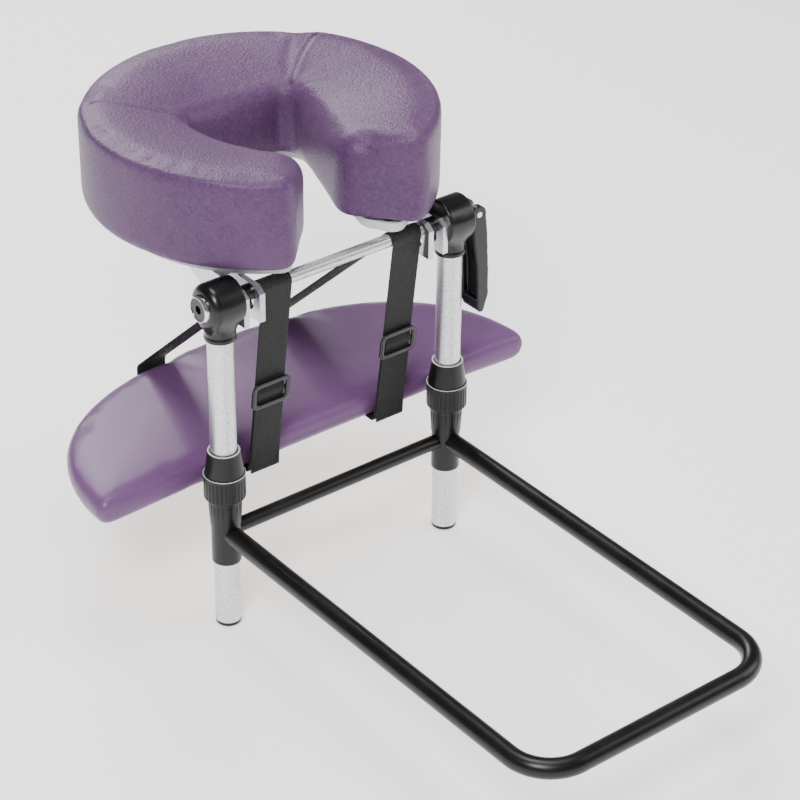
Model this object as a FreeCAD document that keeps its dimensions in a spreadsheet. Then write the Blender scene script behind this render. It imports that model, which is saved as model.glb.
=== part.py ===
import FreeCAD, Part
import Sketcher
import math
import os

# Face cradle kit: a bent tube frame that slides under a mattress carries two
# telescoping posts, a tilting horseshoe face cushion and a padded arm shelf on
# webbing.  Millimetres.  X runs along the crossbar, -Y under the mattress, +Z up.
# The origin is midway between the posts, level with the underside of the frame.

doc = FreeCAD.newDocument("face_cradle_kit")
sheet = doc.addObject("Spreadsheet::Sheet", "Sizes")

SIZES = [
    ("post_spacing", 270.0, "between the centres of the two posts"),
    ("post_d", 25.4, "outside of a post"),
    ("post_wall", 1.5, "wall of a post"),
    ("post_below", 96.5, "post below the underside of the frame"),
    ("pivot_rise", 260.5, "tilt axis above the underside of the frame"),
    ("post_stop", 10.0, "top of a post below the tilt axis"),
    ("plug_lip", 4.5, "visible lip of a foot plug"),
    ("plug_spigot", 18.0, "part of a foot plug inside its post"),
    ("sleeve_wall", 1.2, "wall of a sleeve"),
    ("slide_gap", 0.4, "radial gap between a sleeve and its post"),
    ("sleeve_below", 22.5, "sleeve below the underside of the frame"),
    ("rail_d", 19.05, "outside of the frame tube"),
    ("rail_wall", 1.5, "wall of the frame tube"),
    ("frame_depth", 462.0, "from the posts to the centre of the front bar"),
    ("bend_radius", 42.0, "centre line of the frame's bends"),
    ("bar_d", 15.0, "outside of the bar between the sleeves"),
    ("collar_clear", 0.5, "gap between a collar body and the frame tube below it"),
    ("collar_low_over", 4.6, "lower end of a collar body, over the post's outside"),
    ("collar_high_over", 7.6, "upper end of a collar body, over the post"),
    ("collar_height", 28.5, "visible height of a collar body"),
    ("thread_height", 18.0, "threaded spigot inside a lock nut"),
    ("thread_gap", 0.5, "radial gap between a lock nut and its thread"),
    ("ring_over", 15.1, "gripping ring of a lock nut, over the post"),
    ("ring_height", 28.4, "height of the gripping ring"),
    ("cone_low_over", 12.6, "foot of a lock nut's cone, over the post"),
    ("cone_top_over", 6.1, "top of a lock nut's cone, over the post"),
    ("cone_height", 25.0, "height of the cone"),
    ("collet_wall", 1.7, "wall of a collet at its top"),
    ("collet_gap", 0.3, "gap round a collet"),
    ("rib_d", 2.2, "groove between two grip ribs"),
    ("head_d", 44.0, "barrel of a head"),
    ("head_inner", 16.0, "from a post's centre to its head's inner face"),
    ("head_outer_left", 19.0, "from the left post's centre to the outer face"),
    ("head_right_over", 1.6, "from the right post's outside to its head's outer face"),
    ("neck_wall", 1.2, "wall of a head's neck round its post"),
    ("neck_drop", 37.0, "bottom of a head below the tilt axis"),
    ("lip_height", 3.0, "height of the lip round a head's mouth"),
    ("rod_d", 8.0, "outside of the tie rod"),
    ("rod_gap", 0.2, "radial gap round the tie rod"),
    ("nut_d", 23.0, "rod nut"),
    ("nut_ring_d", 27.0, "bright ring round the rod nut"),
    ("nut_height", 4.0, "height of the rod nut"),
    ("hex_across", 8.0, "hexagon socket across its flats"),
    ("crossbar_d", 12.7, "outside of the crossbar"),
    ("crossbar_wall", 1.6, "wall of the crossbar"),
    ("ear_wall", 6.0, "thickness of a bracket's ear"),
    ("ear_gap", 0.2, "side gap beside an ear"),
    ("flange_d", 16.0, "flange of a pivot bush"),
    ("flange_width", 11.0, "width of the flange between two ears"),
    ("journal_d", 11.4, "journal of a pivot bush"),
    ("journal_gap", 0.3, "radial gap between a journal and its slot"),
    ("slot_drop", 12.0, "length of the slot below the tilt axis"),
    ("ear_front", 16.0, "front of an ear before the tilt axis"),
    ("ear_low", 26.0, "bottom of an ear below the tilt axis"),
    ("ear_top", 9.0, "front top of an ear above the tilt axis"),
    ("ear_back", 78.0, "back of an ear behind the tilt axis"),
    ("web_wall", 4.0, "web that joins two ears"),
    ("plate_rise", 12.0, "underside of the platform above the tilt axis"),
    ("plate_wall", 9.0, "thickness of the platform"),
    ("plate_radius", 147.0, "outer edge of the platform"),
    ("screw_d", 5.0, "platform screws"),
    ("screw_head_d", 9.0, "heads of the platform screws"),
    ("tape_wall", 1.2, "thickness of the hook tape and of the loop tape"),
    ("tape_gap", 0.3, "gap between the two tapes"),
    ("tape_inset", 8.0, "tape inside the platform's edge"),
    ("cushion_radius", 174.0, "outer edge of the face cushion"),
    ("cushion_centre", 121.0, "centre of that edge behind the tilt axis"),
    ("cushion_height", 96.0, "outer height of the face cushion"),
    ("cushion_dish", 24.0, "fall of its top towards the opening"),
    ("opening_back", 160.0, "back wall of the face opening"),
    ("opening_half", 63.0, "half width of the face opening at the back"),
    ("throat_half", 19.0, "half width where the throat would meet the lobes"),
    ("throat_y", 22.3, "place of that corner"),
    ("lobe_half", 76.0, "half width between the tips of the lobes"),
    ("opening_margin", 22.0, "platform kept back from the face opening"),
    ("cam_radius", 9.0, "cam of the lever"),
    ("cam_throw", 0.5, "offset of the cam from its pin"),
    ("cam_gap", 0.3, "gap between the cam and its washer"),
    ("washer_wall", 1.5, "thickness of the cam washer"),
    ("washer_d", 24.0, "outside of the cam washer"),
    ("pin_d", 6.0, "lever pin"),
    ("pin_gap", 0.3, "radial gap round the lever pin"),
    ("eye_width", 9.0, "width of the tie rod's eye"),
    ("eye_gap", 0.5, "side gap beside the eye"),
    ("lever_width", 26.0, "width of the cam lever"),
    ("lever_length", 110.0, "from the pin to the lever's tip"),
    ("lever_channel", 6.0, "depth of the hollow in the lever"),
    ("dish_extra", 6.0, "extra fall at the very middle, where the opening is"),
    ("dish_beyond", 12.0, "the fall ends this far outside the cushion"),
    ("dish_over", 2.0, "the cut starts this far above the cushion"),
    ("shelf_half", 262.0, "half width of the arm shelf"),
    ("shelf_depth", 194.0, "depth of the arm shelf"),
    ("shelf_clear", 0.75, "between a lock nut and the front edge of the shelf"),
    ("shelf_base", 48.0, "underside of the shelf above the frame's underside"),
    ("shelf_height", 30.5, "thickness of the shelf pad"),
    ("shelf_power", 2.4, "roundness of the shelf's outline"),
    ("shelf_round", 9.0, "rounding of the pad's edges"),
    ("board_inset", 14.0, "board inside the pad's edge"),
    ("board_wall", 8.0, "thickness of the board"),
    ("strap_width", 34.0, "webbing"),
    ("strap_wall", 1.4, "thickness of the webbing"),
    ("strap_gap", 0.3, "slack between the webbing and what it goes round"),
    ("strap_place", 76.0, "centre of a strap from the middle"),
    ("tail_length", 62.0, "loose end of a strap"),
    ("glide_width", 43.5, "adjusting buckle"),
    ("glide_height", 24.0, "adjusting buckle along the strap"),
    ("glide_bar", 4.0, "bars of the buckle"),
    ("glide_wall", 1.8, "thickness of those bars"),
    ("glide_above", 30.5, "buckle above the top of a strap's loose end"),
]


class Size:
    """A length held as a number and as the spreadsheet formula that gives it."""

    def __init__(self, value, text):
        self.value = float(value)
        self.text = text

    def __float__(self):
        return self.value

    def __add__(self, other):
        return combine(self, other, "+", self.value + float(other))

    def __radd__(self, other):
        return combine(other, self, "+", self.value + float(other))

    def __sub__(self, other):
        return combine(self, other, "-", self.value - float(other))

    def __rsub__(self, other):
        return combine(other, self, "-", float(other) - self.value)

    def __mul__(self, other):
        return combine(self, other, "*", self.value * float(other))

    def __rmul__(self, other):
        return combine(other, self, "*", self.value * float(other))

    def __truediv__(self, other):
        return combine(self, other, "/", self.value / float(other))

    def __neg__(self):
        return Size(-self.value, "(0 - %s)" % self.text)


def words(item):
    """The formula of a size, or the plain number itself."""
    return item.text if isinstance(item, Size) else "%.6g" % item


def combine(first, second, sign, value):
    """The size that two others make with one sign between them."""
    return Size(value, "(%s %s %s)" % (words(first), sign, words(second)))


def bind(item, prop, size):
    """Ties one property of a document object to the sheet."""
    item.setExpression(prop, words(size))


S = {}
for row, (alias, number, note) in enumerate(SIZES, 2):
    sheet.set("A%d" % row, note)
    sheet.set("B%d" % row, "%g" % number)
    sheet.setAlias("B%d" % row, alias)
    S[alias] = Size(number, "Sizes." + alias)
doc.recompute()

SIDES = (("left", -1), ("right", 1))
DETAIL = 64                       # points along the shelf's rounded outline
RIBS = 30                         # grip ribs round a lock nut
BODY_RIBS = 22                    # ribs round a collar body
SLITS = 4                         # slits in a collet
CUSHION_ROUNDS = (13.0, 25.0, 14.0)  # corners of the cushion: back, throat and lobe tips
PLATE_ROUNDS = (20.0, 16.0, 12.0)    # the same corners of the platform
TAPE_ROUNDS = (12.0, 10.0, 6.0)      # the same corners of the tapes
UNDER_SHARE = 0.6                 # underside rounding of the shelf pad against its top's
TAIL_ROOT = 4.0                   # a strap's loose end starts this far above the shelf's edge
GLIDE_ROUND = 2.5                 # rounding of a buckle's corners

half_span = S["post_spacing"] / 2
post_r = S["post_d"] / 2
pivot = S["pivot_rise"]
frame_axis = S["rail_d"] / 2
sleeve_r = post_r + S["slide_gap"] + S["sleeve_wall"]
collar_base = S["rail_d"] + S["collar_clear"]
collar_low_d = S["post_d"] + S["collar_low_over"]
cone_low_d = S["post_d"] + S["cone_low_over"]
cone_top_d = S["post_d"] + S["cone_top_over"]
ring_base = collar_base + S["collar_height"]
ring_top = ring_base + S["ring_height"]
cone_top = ring_top + S["cone_height"]
thread_r = (S["post_d"] + S["collar_high_over"]) / 2
sleeve_top = ring_base + 8.0
nut_foot = ring_base + S["collet_gap"]
shelf_front = (S["post_d"] + S["ring_over"]) / 2 + S["shelf_clear"]

head_face = half_span - S["head_inner"]
outer_ear = head_face - S["ear_gap"] - S["ear_wall"]
flange_outer = outer_ear - S["ear_gap"]
flange_inner = flange_outer - S["flange_width"]
inner_ear = flange_inner - S["ear_gap"] - S["ear_wall"]
crossbar_half = inner_ear - S["ear_gap"]
bracket_width = head_face - S["ear_gap"] - inner_ear
bracket_x = inner_ear + bracket_width / 2

plate_base = pivot + S["plate_rise"]
plate_top = plate_base + S["plate_wall"]
loop_base = plate_top + S["tape_wall"] + S["tape_gap"]
cushion_base = loop_base + S["tape_wall"]

left_face = half_span + S["head_outer_left"]
right_outer = post_r + S["head_right_over"]
right_face = half_span + right_outer
washer_face = right_face + S["washer_wall"]
pin_x = washer_face + S["cam_gap"] + S["cam_throw"] + S["cam_radius"]


# ---------------------------------------------------------------- features


def make_body(label, x=0.0, y=0.0, z=0.0):
    """An empty body whose place is tied to the sheet."""
    body = doc.addObject("PartDesign::Body", label)
    body.Label = label
    place(body, x, y, z)
    return body


def place(item, x=0.0, y=0.0, z=0.0):
    """Ties an object's position to the sheet."""
    bind(item, ".Placement.Base.x", x)
    bind(item, ".Placement.Base.y", y)
    bind(item, ".Placement.Base.z", z)


def make_sketch(body, plane, name, lift=None):
    """An empty sketch on one of the body's own origin planes."""
    sketch = body.newObject("Sketcher::SketchObject", name)
    for feature in body.Origin.OriginFeatures:
        if feature.Role == plane:
            sketch.AttachmentSupport = [(feature, "")]
    sketch.MapMode = "FlatFace"
    if lift is not None:
        bind(sketch, ".AttachmentOffset.Base.z", lift)
    return sketch


def pin_point(sketch, edge, end, u, v):
    """Ties one point of a sketch to the sheet."""
    for axis, kind, size in ((-2, "DistanceX", u), (-1, "DistanceY", v)):
        if float(size) == 0.0:
            sketch.addConstraint(Sketcher.Constraint("PointOnObject", edge, end, axis))
            continue
        rule = Sketcher.Constraint(kind, -1, 1, edge, end, float(size))
        number = sketch.addConstraint(rule)
        bind(sketch, "Constraints[%d]" % number, size)


def outline(body, plane, name, corners, lift=None):
    """A closed outline of straight edges."""
    sketch = make_sketch(body, plane, name, lift)
    spots = [FreeCAD.Vector(float(u), float(v), 0) for u, v in corners]
    count = len(spots)
    for i in range(count):
        sketch.addGeometry(Part.LineSegment(spots[i], spots[(i + 1) % count]))
    for i in range(count):
        rule = Sketcher.Constraint("Coincident", i, 2, (i + 1) % count, 1)
        sketch.addConstraint(rule)
    for i, (u, v) in enumerate(corners):
        pin_point(sketch, i, 1, u, v)
    return sketch


def circle(body, plane, name, u, v, radius, lift=None):
    """A sketch of one circle."""
    sketch = make_sketch(body, plane, name, lift)
    add_circle(sketch, u, v, radius)
    return sketch


def add_circle(sketch, u, v, radius):
    """Adds one circle to a sketch."""
    centre = FreeCAD.Vector(float(u), float(v), 0)
    edge = sketch.addGeometry(Part.Circle(centre, FreeCAD.Vector(0, 0, 1), float(radius)))
    pin_point(sketch, edge, 3, u, v)
    rule = Sketcher.Constraint("Radius", edge, float(radius))
    number = sketch.addConstraint(rule)
    bind(sketch, "Constraints[%d]" % number, radius)


def pad(body, sketch, length, both=False, back=False):
    """Extrudes a sketch into material."""
    item = body.newObject("PartDesign::Pad", sketch.Name + "_pad")
    item.Profile = sketch
    bind(item, "Length", length)
    item.Midplane = both
    item.Reversed = back
    return item


def pocket(body, sketch, length, both=False, back=False):
    """Cuts a sketch out of the material."""
    item = body.newObject("PartDesign::Pocket", sketch.Name + "_cut")
    item.Profile = sketch
    bind(item, "Length", length)
    item.Midplane = both
    item.Reversed = back
    return item


def spin(body, sketch, axis, cut=False):
    """Turns a sketch about its own H or V axis, as material or as a cut."""
    kind = "PartDesign::Groove" if cut else "PartDesign::Revolution"
    item = body.newObject(kind, sketch.Name + ("_groove" if cut else "_turn"))
    item.Profile = sketch
    item.ReferenceAxis = (sketch, [axis])
    item.Angle = 360.0
    return item


def ring_of(body, feature, count, axis="Z_Axis"):
    """Repeats a feature round an axis of the body."""
    item = body.newObject("PartDesign::PolarPattern", feature.Name + "_ring")
    item.Originals = [feature]
    for line in body.Origin.OriginFeatures:
        if line.Role == axis:
            item.Axis = (line, [""])
    item.Angle = 360.0
    item.Occurrences = count
    body.Tip = item
    return item


def upright_edges(shape, corners):
    """The vertical edges that stand at the given corners."""
    names = []
    for number, edge in enumerate(shape.Edges, 1):
        if len(edge.Vertexes) != 2:
            continue
        low, high = [vertex.Point for vertex in edge.Vertexes]
        if abs(low.x - high.x) > 0.01 or abs(low.y - high.y) > 0.01:
            continue
        for x, y in corners:
            if math.hypot(low.x - float(x), low.y - float(y)) < 0.5:
                names.append("Edge%d" % number)
    return names


def round_off(body, name, pick, radius):
    """Rounds the edges that a function picks from the body so far."""
    doc.recompute()
    base = body.Tip
    item = body.newObject("PartDesign::Fillet", name)
    item.Base = (base, pick(base.Shape))
    bind(item, "Radius", radius)
    return item


def cylinder(name, radius, length, turn=None):
    """A plain cylinder along Z, or turned to lie along another axis."""
    item = doc.addObject("Part::Cylinder", name)
    bind(item, "Radius", radius)
    bind(item, "Height", length)
    if turn is not None:
        item.Placement.Rotation = turn
    return item


def cut(label, base, tool):
    """One shape less another."""
    item = doc.addObject("Part::Cut", label)
    item.Label = label
    item.Base = base
    item.Tool = tool
    return item


ALONG_X = FreeCAD.Rotation(FreeCAD.Vector(0, 1, 0), 90)
ALONG_Y = FreeCAD.Rotation(FreeCAD.Vector(1, 0, 0), -90)


# ---------------------------------------------------------------- frame


def make_u_frame():
    """The bent tube that lies under the mattress, coped to both sleeves."""
    body = make_body("u_frame", z=frame_axis)
    path = make_sketch(body, "XY_Plane", "u_frame_path")
    bend = S["bend_radius"]
    depth = S["frame_depth"]
    stops = [(-half_span, 0.0), (-half_span, bend - depth), (bend - half_span, -depth),
             (half_span - bend, -depth), (half_span, bend - depth), (half_span, 0.0)]
    spots = [FreeCAD.Vector(float(u), float(v), 0) for u, v in stops]
    up = FreeCAD.Vector(0, 0, 1)
    radius = float(bend)
    for first, last, centre, start in ((0, 1, None, 0), (1, 2, (2, 1), math.pi),
                                       (2, 3, None, 0), (3, 4, (3, 4), 1.5 * math.pi),
                                       (4, 5, None, 0)):
        if centre is None:
            path.addGeometry(Part.LineSegment(spots[first], spots[last]))
            continue
        middle = FreeCAD.Vector(spots[centre[0]].x, spots[centre[1]].y, 0)
        whole = Part.Circle(middle, up, radius)
        path.addGeometry(Part.ArcOfCircle(whole, start, start + math.pi / 2))
    for edge in range(4):
        path.addConstraint(Sketcher.Constraint("Coincident", edge, 2, edge + 1, 1))
    for edge, spot in ((0, 0), (0, 1), (2, 2), (2, 3), (4, 4), (4, 5)):
        pin_point(path, edge, 1 + spot % 2, *stops[spot])
    for edge in (1, 3):
        number = path.addConstraint(Sketcher.Constraint("Radius", edge, radius))
        bind(path, "Constraints[%d]" % number, bend)
    section = circle(body, "XZ_Plane", "u_frame_section", -half_span, 0.0, frame_axis)
    add_circle(section, -half_span, 0.0, frame_axis - S["rail_wall"])
    pipe = body.newObject("PartDesign::AdditivePipe", "u_frame_pipe")
    pipe.Profile = section
    pipe.Spine = (path, ["Edge%d" % number for number in range(1, 6)])
    cope = circle(body, "XY_Plane", "u_frame_cope", -half_span, 0.0, sleeve_r)
    add_circle(cope, half_span, 0.0, sleeve_r)
    pocket(body, cope, 2 * S["rail_d"], both=True)
    return body


def make_back_bar():
    """The thinner bar that joins the sleeves, coped to both."""
    bar = cylinder("back_bar_rod", S["bar_d"] / 2, S["post_spacing"], ALONG_X)
    place(bar, -half_span, 0.0, frame_axis)
    for name, side in SIDES:
        tool = cylinder("back_bar_%s_cope" % name, sleeve_r, 2 * S["rail_d"])
        place(tool, side * half_span, 0.0, -frame_axis)
        bar = cut("back_bar" if side > 0 else "back_bar_half", bar, tool)
    return bar


def make_tube(label, outer, inner, base, length, x):
    """An upright tube."""
    outside = cylinder(label + "_outside", outer, length)
    inside = cylinder(label + "_inside", inner, length)
    for item in (outside, inside):
        place(item, x, 0.0, base)
    return cut(label, outside, inside)


def make_collar_body(name, side):
    """The ribbed fitting on top of a sleeve, with the thread of its lock nut."""
    body = make_body(name + "_collar_body", side * half_span)
    low_r = collar_low_d / 2
    throat = post_r + S["collet_gap"] + S["collet_wall"] + S["collet_gap"] + 0.8
    spigot_top = ring_base + S["thread_height"]
    profile = outline(body, "XZ_Plane", name + "_collar_profile", [
        (sleeve_r, collar_base), (low_r - 0.6, collar_base),
        (low_r, collar_base + 0.6), (thread_r, ring_base),
        (thread_r, spigot_top), (throat, spigot_top),
        (throat, sleeve_top), (sleeve_r, sleeve_top)])
    spin(body, profile, "V_Axis")
    rib = circle(body, "XY_Plane", name + "_collar_rib", thread_r, 0.0,
                 S["rib_d"] / 2, collar_base)
    groove = pocket(body, rib, S["collar_height"] - 3.0, back=True)
    ring_of(body, groove, BODY_RIBS)
    return body


def make_collet(name, side):
    """The slit sleeve that the lock nut squeezes on to the post."""
    body = make_body(name + "_collet", side * half_span)
    inner = post_r + S["collet_gap"]
    top = cone_top - 6.0
    profile = outline(body, "XZ_Plane", name + "_collet_profile", [
        (inner, sleeve_top), (inner + S["collet_wall"], sleeve_top),
        (inner + S["collet_wall"], top - 10.0), (inner + 1.0, top), (inner, top)])
    spin(body, profile, "V_Axis")
    slit = outline(body, "XY_Plane", name + "_collet_slit", [
        (inner - 1.0, -0.8), (inner + S["collet_wall"] + 1.0, -0.8),
        (inner + S["collet_wall"] + 1.0, 0.8), (inner - 1.0, 0.8)], sleeve_top + 8.0)
    gap = pocket(body, slit, top - sleeve_top, back=True)
    ring_of(body, gap, SLITS)
    return body


def make_lock_nut(name, side):
    """The twist collar: a ribbed ring below a cone."""
    body = make_body(name + "_lock_nut", side * half_span)
    ring_r = (S["post_d"] + S["ring_over"]) / 2
    bore = thread_r + S["thread_gap"]
    throat = post_r + S["collet_gap"] + S["collet_wall"] + S["collet_gap"]
    mouth = post_r + S["thread_gap"]
    thread_end = ring_base + S["thread_height"] + 1.0
    seat = cone_top - 5.5
    profile = outline(body, "XZ_Plane", name + "_nut_profile", [
        (bore, nut_foot), (ring_r - 3.0, nut_foot), (ring_r, nut_foot + 3.0),
        (ring_r, ring_top - 0.8), (ring_r - 0.8, ring_top),
        (cone_low_d / 2, ring_top), (cone_top_d / 2, cone_top - 0.6),
        (cone_top_d / 2 - 0.6, cone_top), (mouth, cone_top), (mouth, seat),
        (throat, seat - 1.0), (throat, thread_end), (bore, thread_end)])
    spin(body, profile, "V_Axis")
    rib = circle(body, "XY_Plane", name + "_nut_rib", ring_r + 0.3, 0.0,
                 S["rib_d"] / 2, nut_foot)
    groove = pocket(body, rib, S["ring_height"] - 3.5, back=True)
    ring_of(body, groove, RIBS)
    return body


def make_foot_plug(name, side):
    """The plug in the foot of a post."""
    body = make_body(name + "_foot_plug", side * half_span, 0.0, -S["post_below"])
    spigot_r = post_r - S["post_wall"]
    profile = outline(body, "XZ_Plane", name + "_plug_profile", [
        (0.0, 0.0), (post_r - 1.2, 0.0), (post_r, 1.2), (post_r, S["plug_lip"]),
        (spigot_r, S["plug_lip"]), (spigot_r, S["plug_lip"] + S["plug_spigot"]),
        (0.0, S["plug_lip"] + S["plug_spigot"])])
    spin(body, profile, "V_Axis")
    return body


# ---------------------------------------------------------------- heads and pivot


def make_head(name, side, outer):
    """The moulded elbow on top of a post: a barrel on the tilt axis and a socket."""
    body = make_body(name + "_head", side * half_span, 0.0, pivot)
    barrel_r = S["head_d"] / 2
    neck_r = post_r + S["neck_wall"]
    lip_r = neck_r + 1.4
    drop = -S["neck_drop"]
    lip = drop + S["lip_height"]
    inner = -side * S["head_inner"]
    face = side * outer
    barrel = outline(body, "XZ_Plane", name + "_barrel", [
        (inner, 0.0), (inner, barrel_r - 1.5), (inner + side * 1.5, barrel_r),
        (face - side * 2.5, barrel_r), (face, barrel_r - 2.5), (face, 0.0)])
    spin(body, barrel, "H_Axis")
    socket = outline(body, "XZ_Plane", name + "_socket", [
        (0.0, 0.0), (neck_r, 0.0), (neck_r, lip + 6.0), (lip_r - 0.5, lip + 2.0),
        (lip_r - 0.5, lip), (lip_r + 0.4, lip), (lip_r + 0.4, drop), (0.0, drop)])
    spin(body, socket, "V_Axis")
    bore = outline(body, "XZ_Plane", name + "_bore", [
        (0.0, drop), (post_r, drop), (post_r, -S["post_stop"]), (0.0, -S["post_stop"])])
    spin(body, bore, "V_Axis", cut=True)
    rod_r = S["rod_d"] / 2 + S["rod_gap"]
    hole = outline(body, "XZ_Plane", name + "_rod_hole", [
        (inner, 0.0), (face, 0.0), (face, rod_r), (inner, rod_r)])
    spin(body, hole, "H_Axis", cut=True)
    return body


def make_pivot_bush(name, side):
    """The black bush that the two ears of a bracket turn on."""
    body = make_body(name + "_pivot_bush", 0.0, 0.0, pivot)
    rod_r = S["rod_d"] / 2 + S["rod_gap"]
    journal_r = S["journal_d"] / 2
    flange_r = S["flange_d"] / 2
    profile = outline(body, "XZ_Plane", name + "_bush_profile", [
        (side * crossbar_half, rod_r), (side * head_face, rod_r),
        (side * head_face, journal_r), (side * flange_outer, journal_r),
        (side * flange_outer, flange_r), (side * flange_inner, flange_r),
        (side * flange_inner, journal_r), (side * crossbar_half, journal_r)])
    spin(body, profile, "H_Axis")
    return body


def make_crossbar():
    """The plain tube between the brackets."""
    radius = S["crossbar_d"] / 2
    outside = cylinder("crossbar_outside", radius, 2 * crossbar_half, ALONG_X)
    inside = cylinder("crossbar_inside", radius - S["crossbar_wall"],
                      2 * crossbar_half, ALONG_X)
    for item in (outside, inside):
        place(item, -crossbar_half, 0.0, pivot)
    return cut("crossbar", outside, inside)


def make_tie_rod():
    """The rod through the whole pivot, with an eye for the lever pin."""
    body = make_body("tie_rod", 0.0, 0.0, pivot)
    rod = circle(body, "YZ_Plane", "tie_rod_section", 0.0, 0.0, S["rod_d"] / 2, -left_face)
    pad(body, rod, left_face + pin_x - S["pin_d"] / 2 - 1.5)
    eye = circle(body, "XZ_Plane", "tie_rod_eye", pin_x, 0.0, S["pin_d"] / 2 + 3.0)
    pad(body, eye, S["eye_width"], both=True)
    hole = circle(body, "XZ_Plane", "tie_rod_hole", pin_x, 0.0, S["pin_d"] / 2 + S["pin_gap"])
    pocket(body, hole, S["eye_width"] + 2, both=True)
    return body


def make_rod_nut():
    """The dark nut on the left end of the tie rod, with a hexagon socket."""
    body = make_body("rod_nut", -left_face - S["nut_height"], 0.0, pivot)
    disc = circle(body, "YZ_Plane", "rod_nut_disc", 0.0, 0.0, S["nut_d"] / 2)
    pad(body, disc, S["nut_height"])
    corner = S["hex_across"] / math.sqrt(3)
    corners = []
    for turn in range(6):
        angle = math.radians(60 * turn + 30)
        corners.append((corner * math.cos(angle), corner * math.sin(angle)))
    socket = outline(body, "YZ_Plane", "rod_nut_socket", corners)
    pocket(body, socket, S["nut_height"] - 1.2, back=True)
    return body


def make_nut_ring():
    """The bright ring round the rod nut."""
    body = make_body("rod_nut_ring", -left_face, 0.0, pivot)
    inner = S["nut_d"] / 2
    outer = S["nut_ring_d"] / 2
    height = S["nut_height"] + 0.6
    profile = outline(body, "XZ_Plane", "nut_ring_profile", [
        (0.0, inner), (-height, inner), (-height, inner + 0.6),
        (1.2 - height, outer), (0.0, outer)])
    spin(body, profile, "H_Axis")
    return body


def make_cam_washer():
    """The washer that the lever's cam presses on."""
    outside = cylinder("cam_washer_outside", S["washer_d"] / 2, S["washer_wall"], ALONG_X)
    inside = cylinder("cam_washer_inside", S["rod_d"] / 2 + S["rod_gap"],
                      S["washer_wall"], ALONG_X)
    for item in (outside, inside):
        place(item, right_face, 0.0, pivot)
    return cut("cam_washer", outside, inside)


def make_cam_lever():
    """The clamping lever: a forked cam on the pin and a hollow handle hanging down."""
    body = make_body("cam_lever", pin_x, 0.0, pivot)
    length = S["lever_length"]
    width = S["lever_width"]
    handle = outline(body, "XZ_Plane", "cam_lever_handle", [
        (-S["cam_radius"] + 2.5, -5.0), (-6.5, -16.0), (-0.5, -60.0), (1.5, 6.0 - length),
        (4.0, -length), (8.0, -length), (14.0, 18.0 - length), (13.0, -60.0),
        (10.5, -20.0), (S["cam_radius"] - 0.8, -2.0)])
    pad(body, handle, width, both=True)
    cam = circle(body, "XZ_Plane", "cam_lever_cam", -S["cam_throw"], 0.0, S["cam_radius"])
    pad(body, cam, width, both=True)
    fork = S["eye_width"] + 2 * S["eye_gap"]
    slot = outline(body, "XZ_Plane", "cam_lever_slot", [
        (-12.0, -13.0), (4.0, -13.0), (8.0, -8.0), (12.0, -2.0), (12.0, 12.0), (-12.0, 12.0)])
    pocket(body, slot, fork, both=True)
    hole = circle(body, "XZ_Plane", "cam_lever_hole", 0.0, 0.0, S["pin_d"] / 2)
    pocket(body, hole, width + 2, both=True)
    deep = S["lever_channel"]
    hollow = outline(body, "XZ_Plane", "cam_lever_hollow", [
        (-9.0, -20.0), (-6.0 + deep, -20.0), (-0.5 + deep, -60.0), (1.0 + deep, 14.0 - length),
        (-9.0, 14.0 - length)])
    pocket(body, hollow, width - 6.0, both=True)
    return body


def make_lever_pin():
    """The pin through the lever and the tie rod's eye."""
    pin = cylinder("lever_pin", S["pin_d"] / 2, S["lever_width"], ALONG_Y)
    pin.Label = "lever_pin"
    place(pin, pin_x, -S["lever_width"] / 2, pivot)
    return pin


# ---------------------------------------------------------------- cradle


def make_bracket(name, side):
    """A clevis of two ears and a web, screwed under the platform."""
    body = make_body(name + "_tilt_bracket", side * bracket_x, 0.0, pivot)
    front = -S["ear_front"]
    low = -S["ear_low"]
    back = S["ear_back"]
    rise = S["plate_rise"]
    step = 18.0
    ears = outline(body, "YZ_Plane", name + "_ears", [
        (front, low), (10.0, low), (back - 36.0, -14.0), (back, rise - 10.0), (back, rise),
        (step + 4.0, rise), (step - 2.0, S["ear_top"]), (-8.0, S["ear_top"]),
        (front, S["ear_top"] - 6.0)])
    pad(body, ears, bracket_width, both=True)
    web = rise - S["web_wall"]
    room = outline(body, "YZ_Plane", name + "_ear_gap", [
        (front - 2.0, low - 2.0), (back + 2.0, low - 2.0), (back + 2.0, web),
        (step + 8.0, web), (step + 8.0, rise + 2.0), (front - 2.0, rise + 2.0)])
    pocket(body, room, bracket_width - 2 * S["ear_wall"], both=True)
    slot_r = S["journal_d"] / 2 + S["journal_gap"]
    for number, drop in enumerate((0.0, -S["slot_drop"])):
        hole = circle(body, "YZ_Plane", "%s_slot_end%d" % (name, number), 0.0, drop, slot_r)
        pocket(body, hole, bracket_width + 2, both=True)
    slot = outline(body, "YZ_Plane", name + "_slot", [
        (-slot_r, 0.0), (-slot_r, -S["slot_drop"]), (slot_r, -S["slot_drop"]), (slot_r, 0.0)])
    pocket(body, slot, bracket_width + 2, both=True)
    holes = make_sketch(body, "XY_Plane", name + "_web_holes", web - 1.0)
    for y in screw_rows():
        add_circle(holes, 0.0, y, S["screw_d"] / 2)
    pocket(body, holes, S["web_wall"] + 2, back=True)
    return body


def screw_rows():
    """Where the platform screws stand behind the tilt axis."""
    return (S["ear_back"] - 42.0, S["ear_back"] - 12.0)


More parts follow.
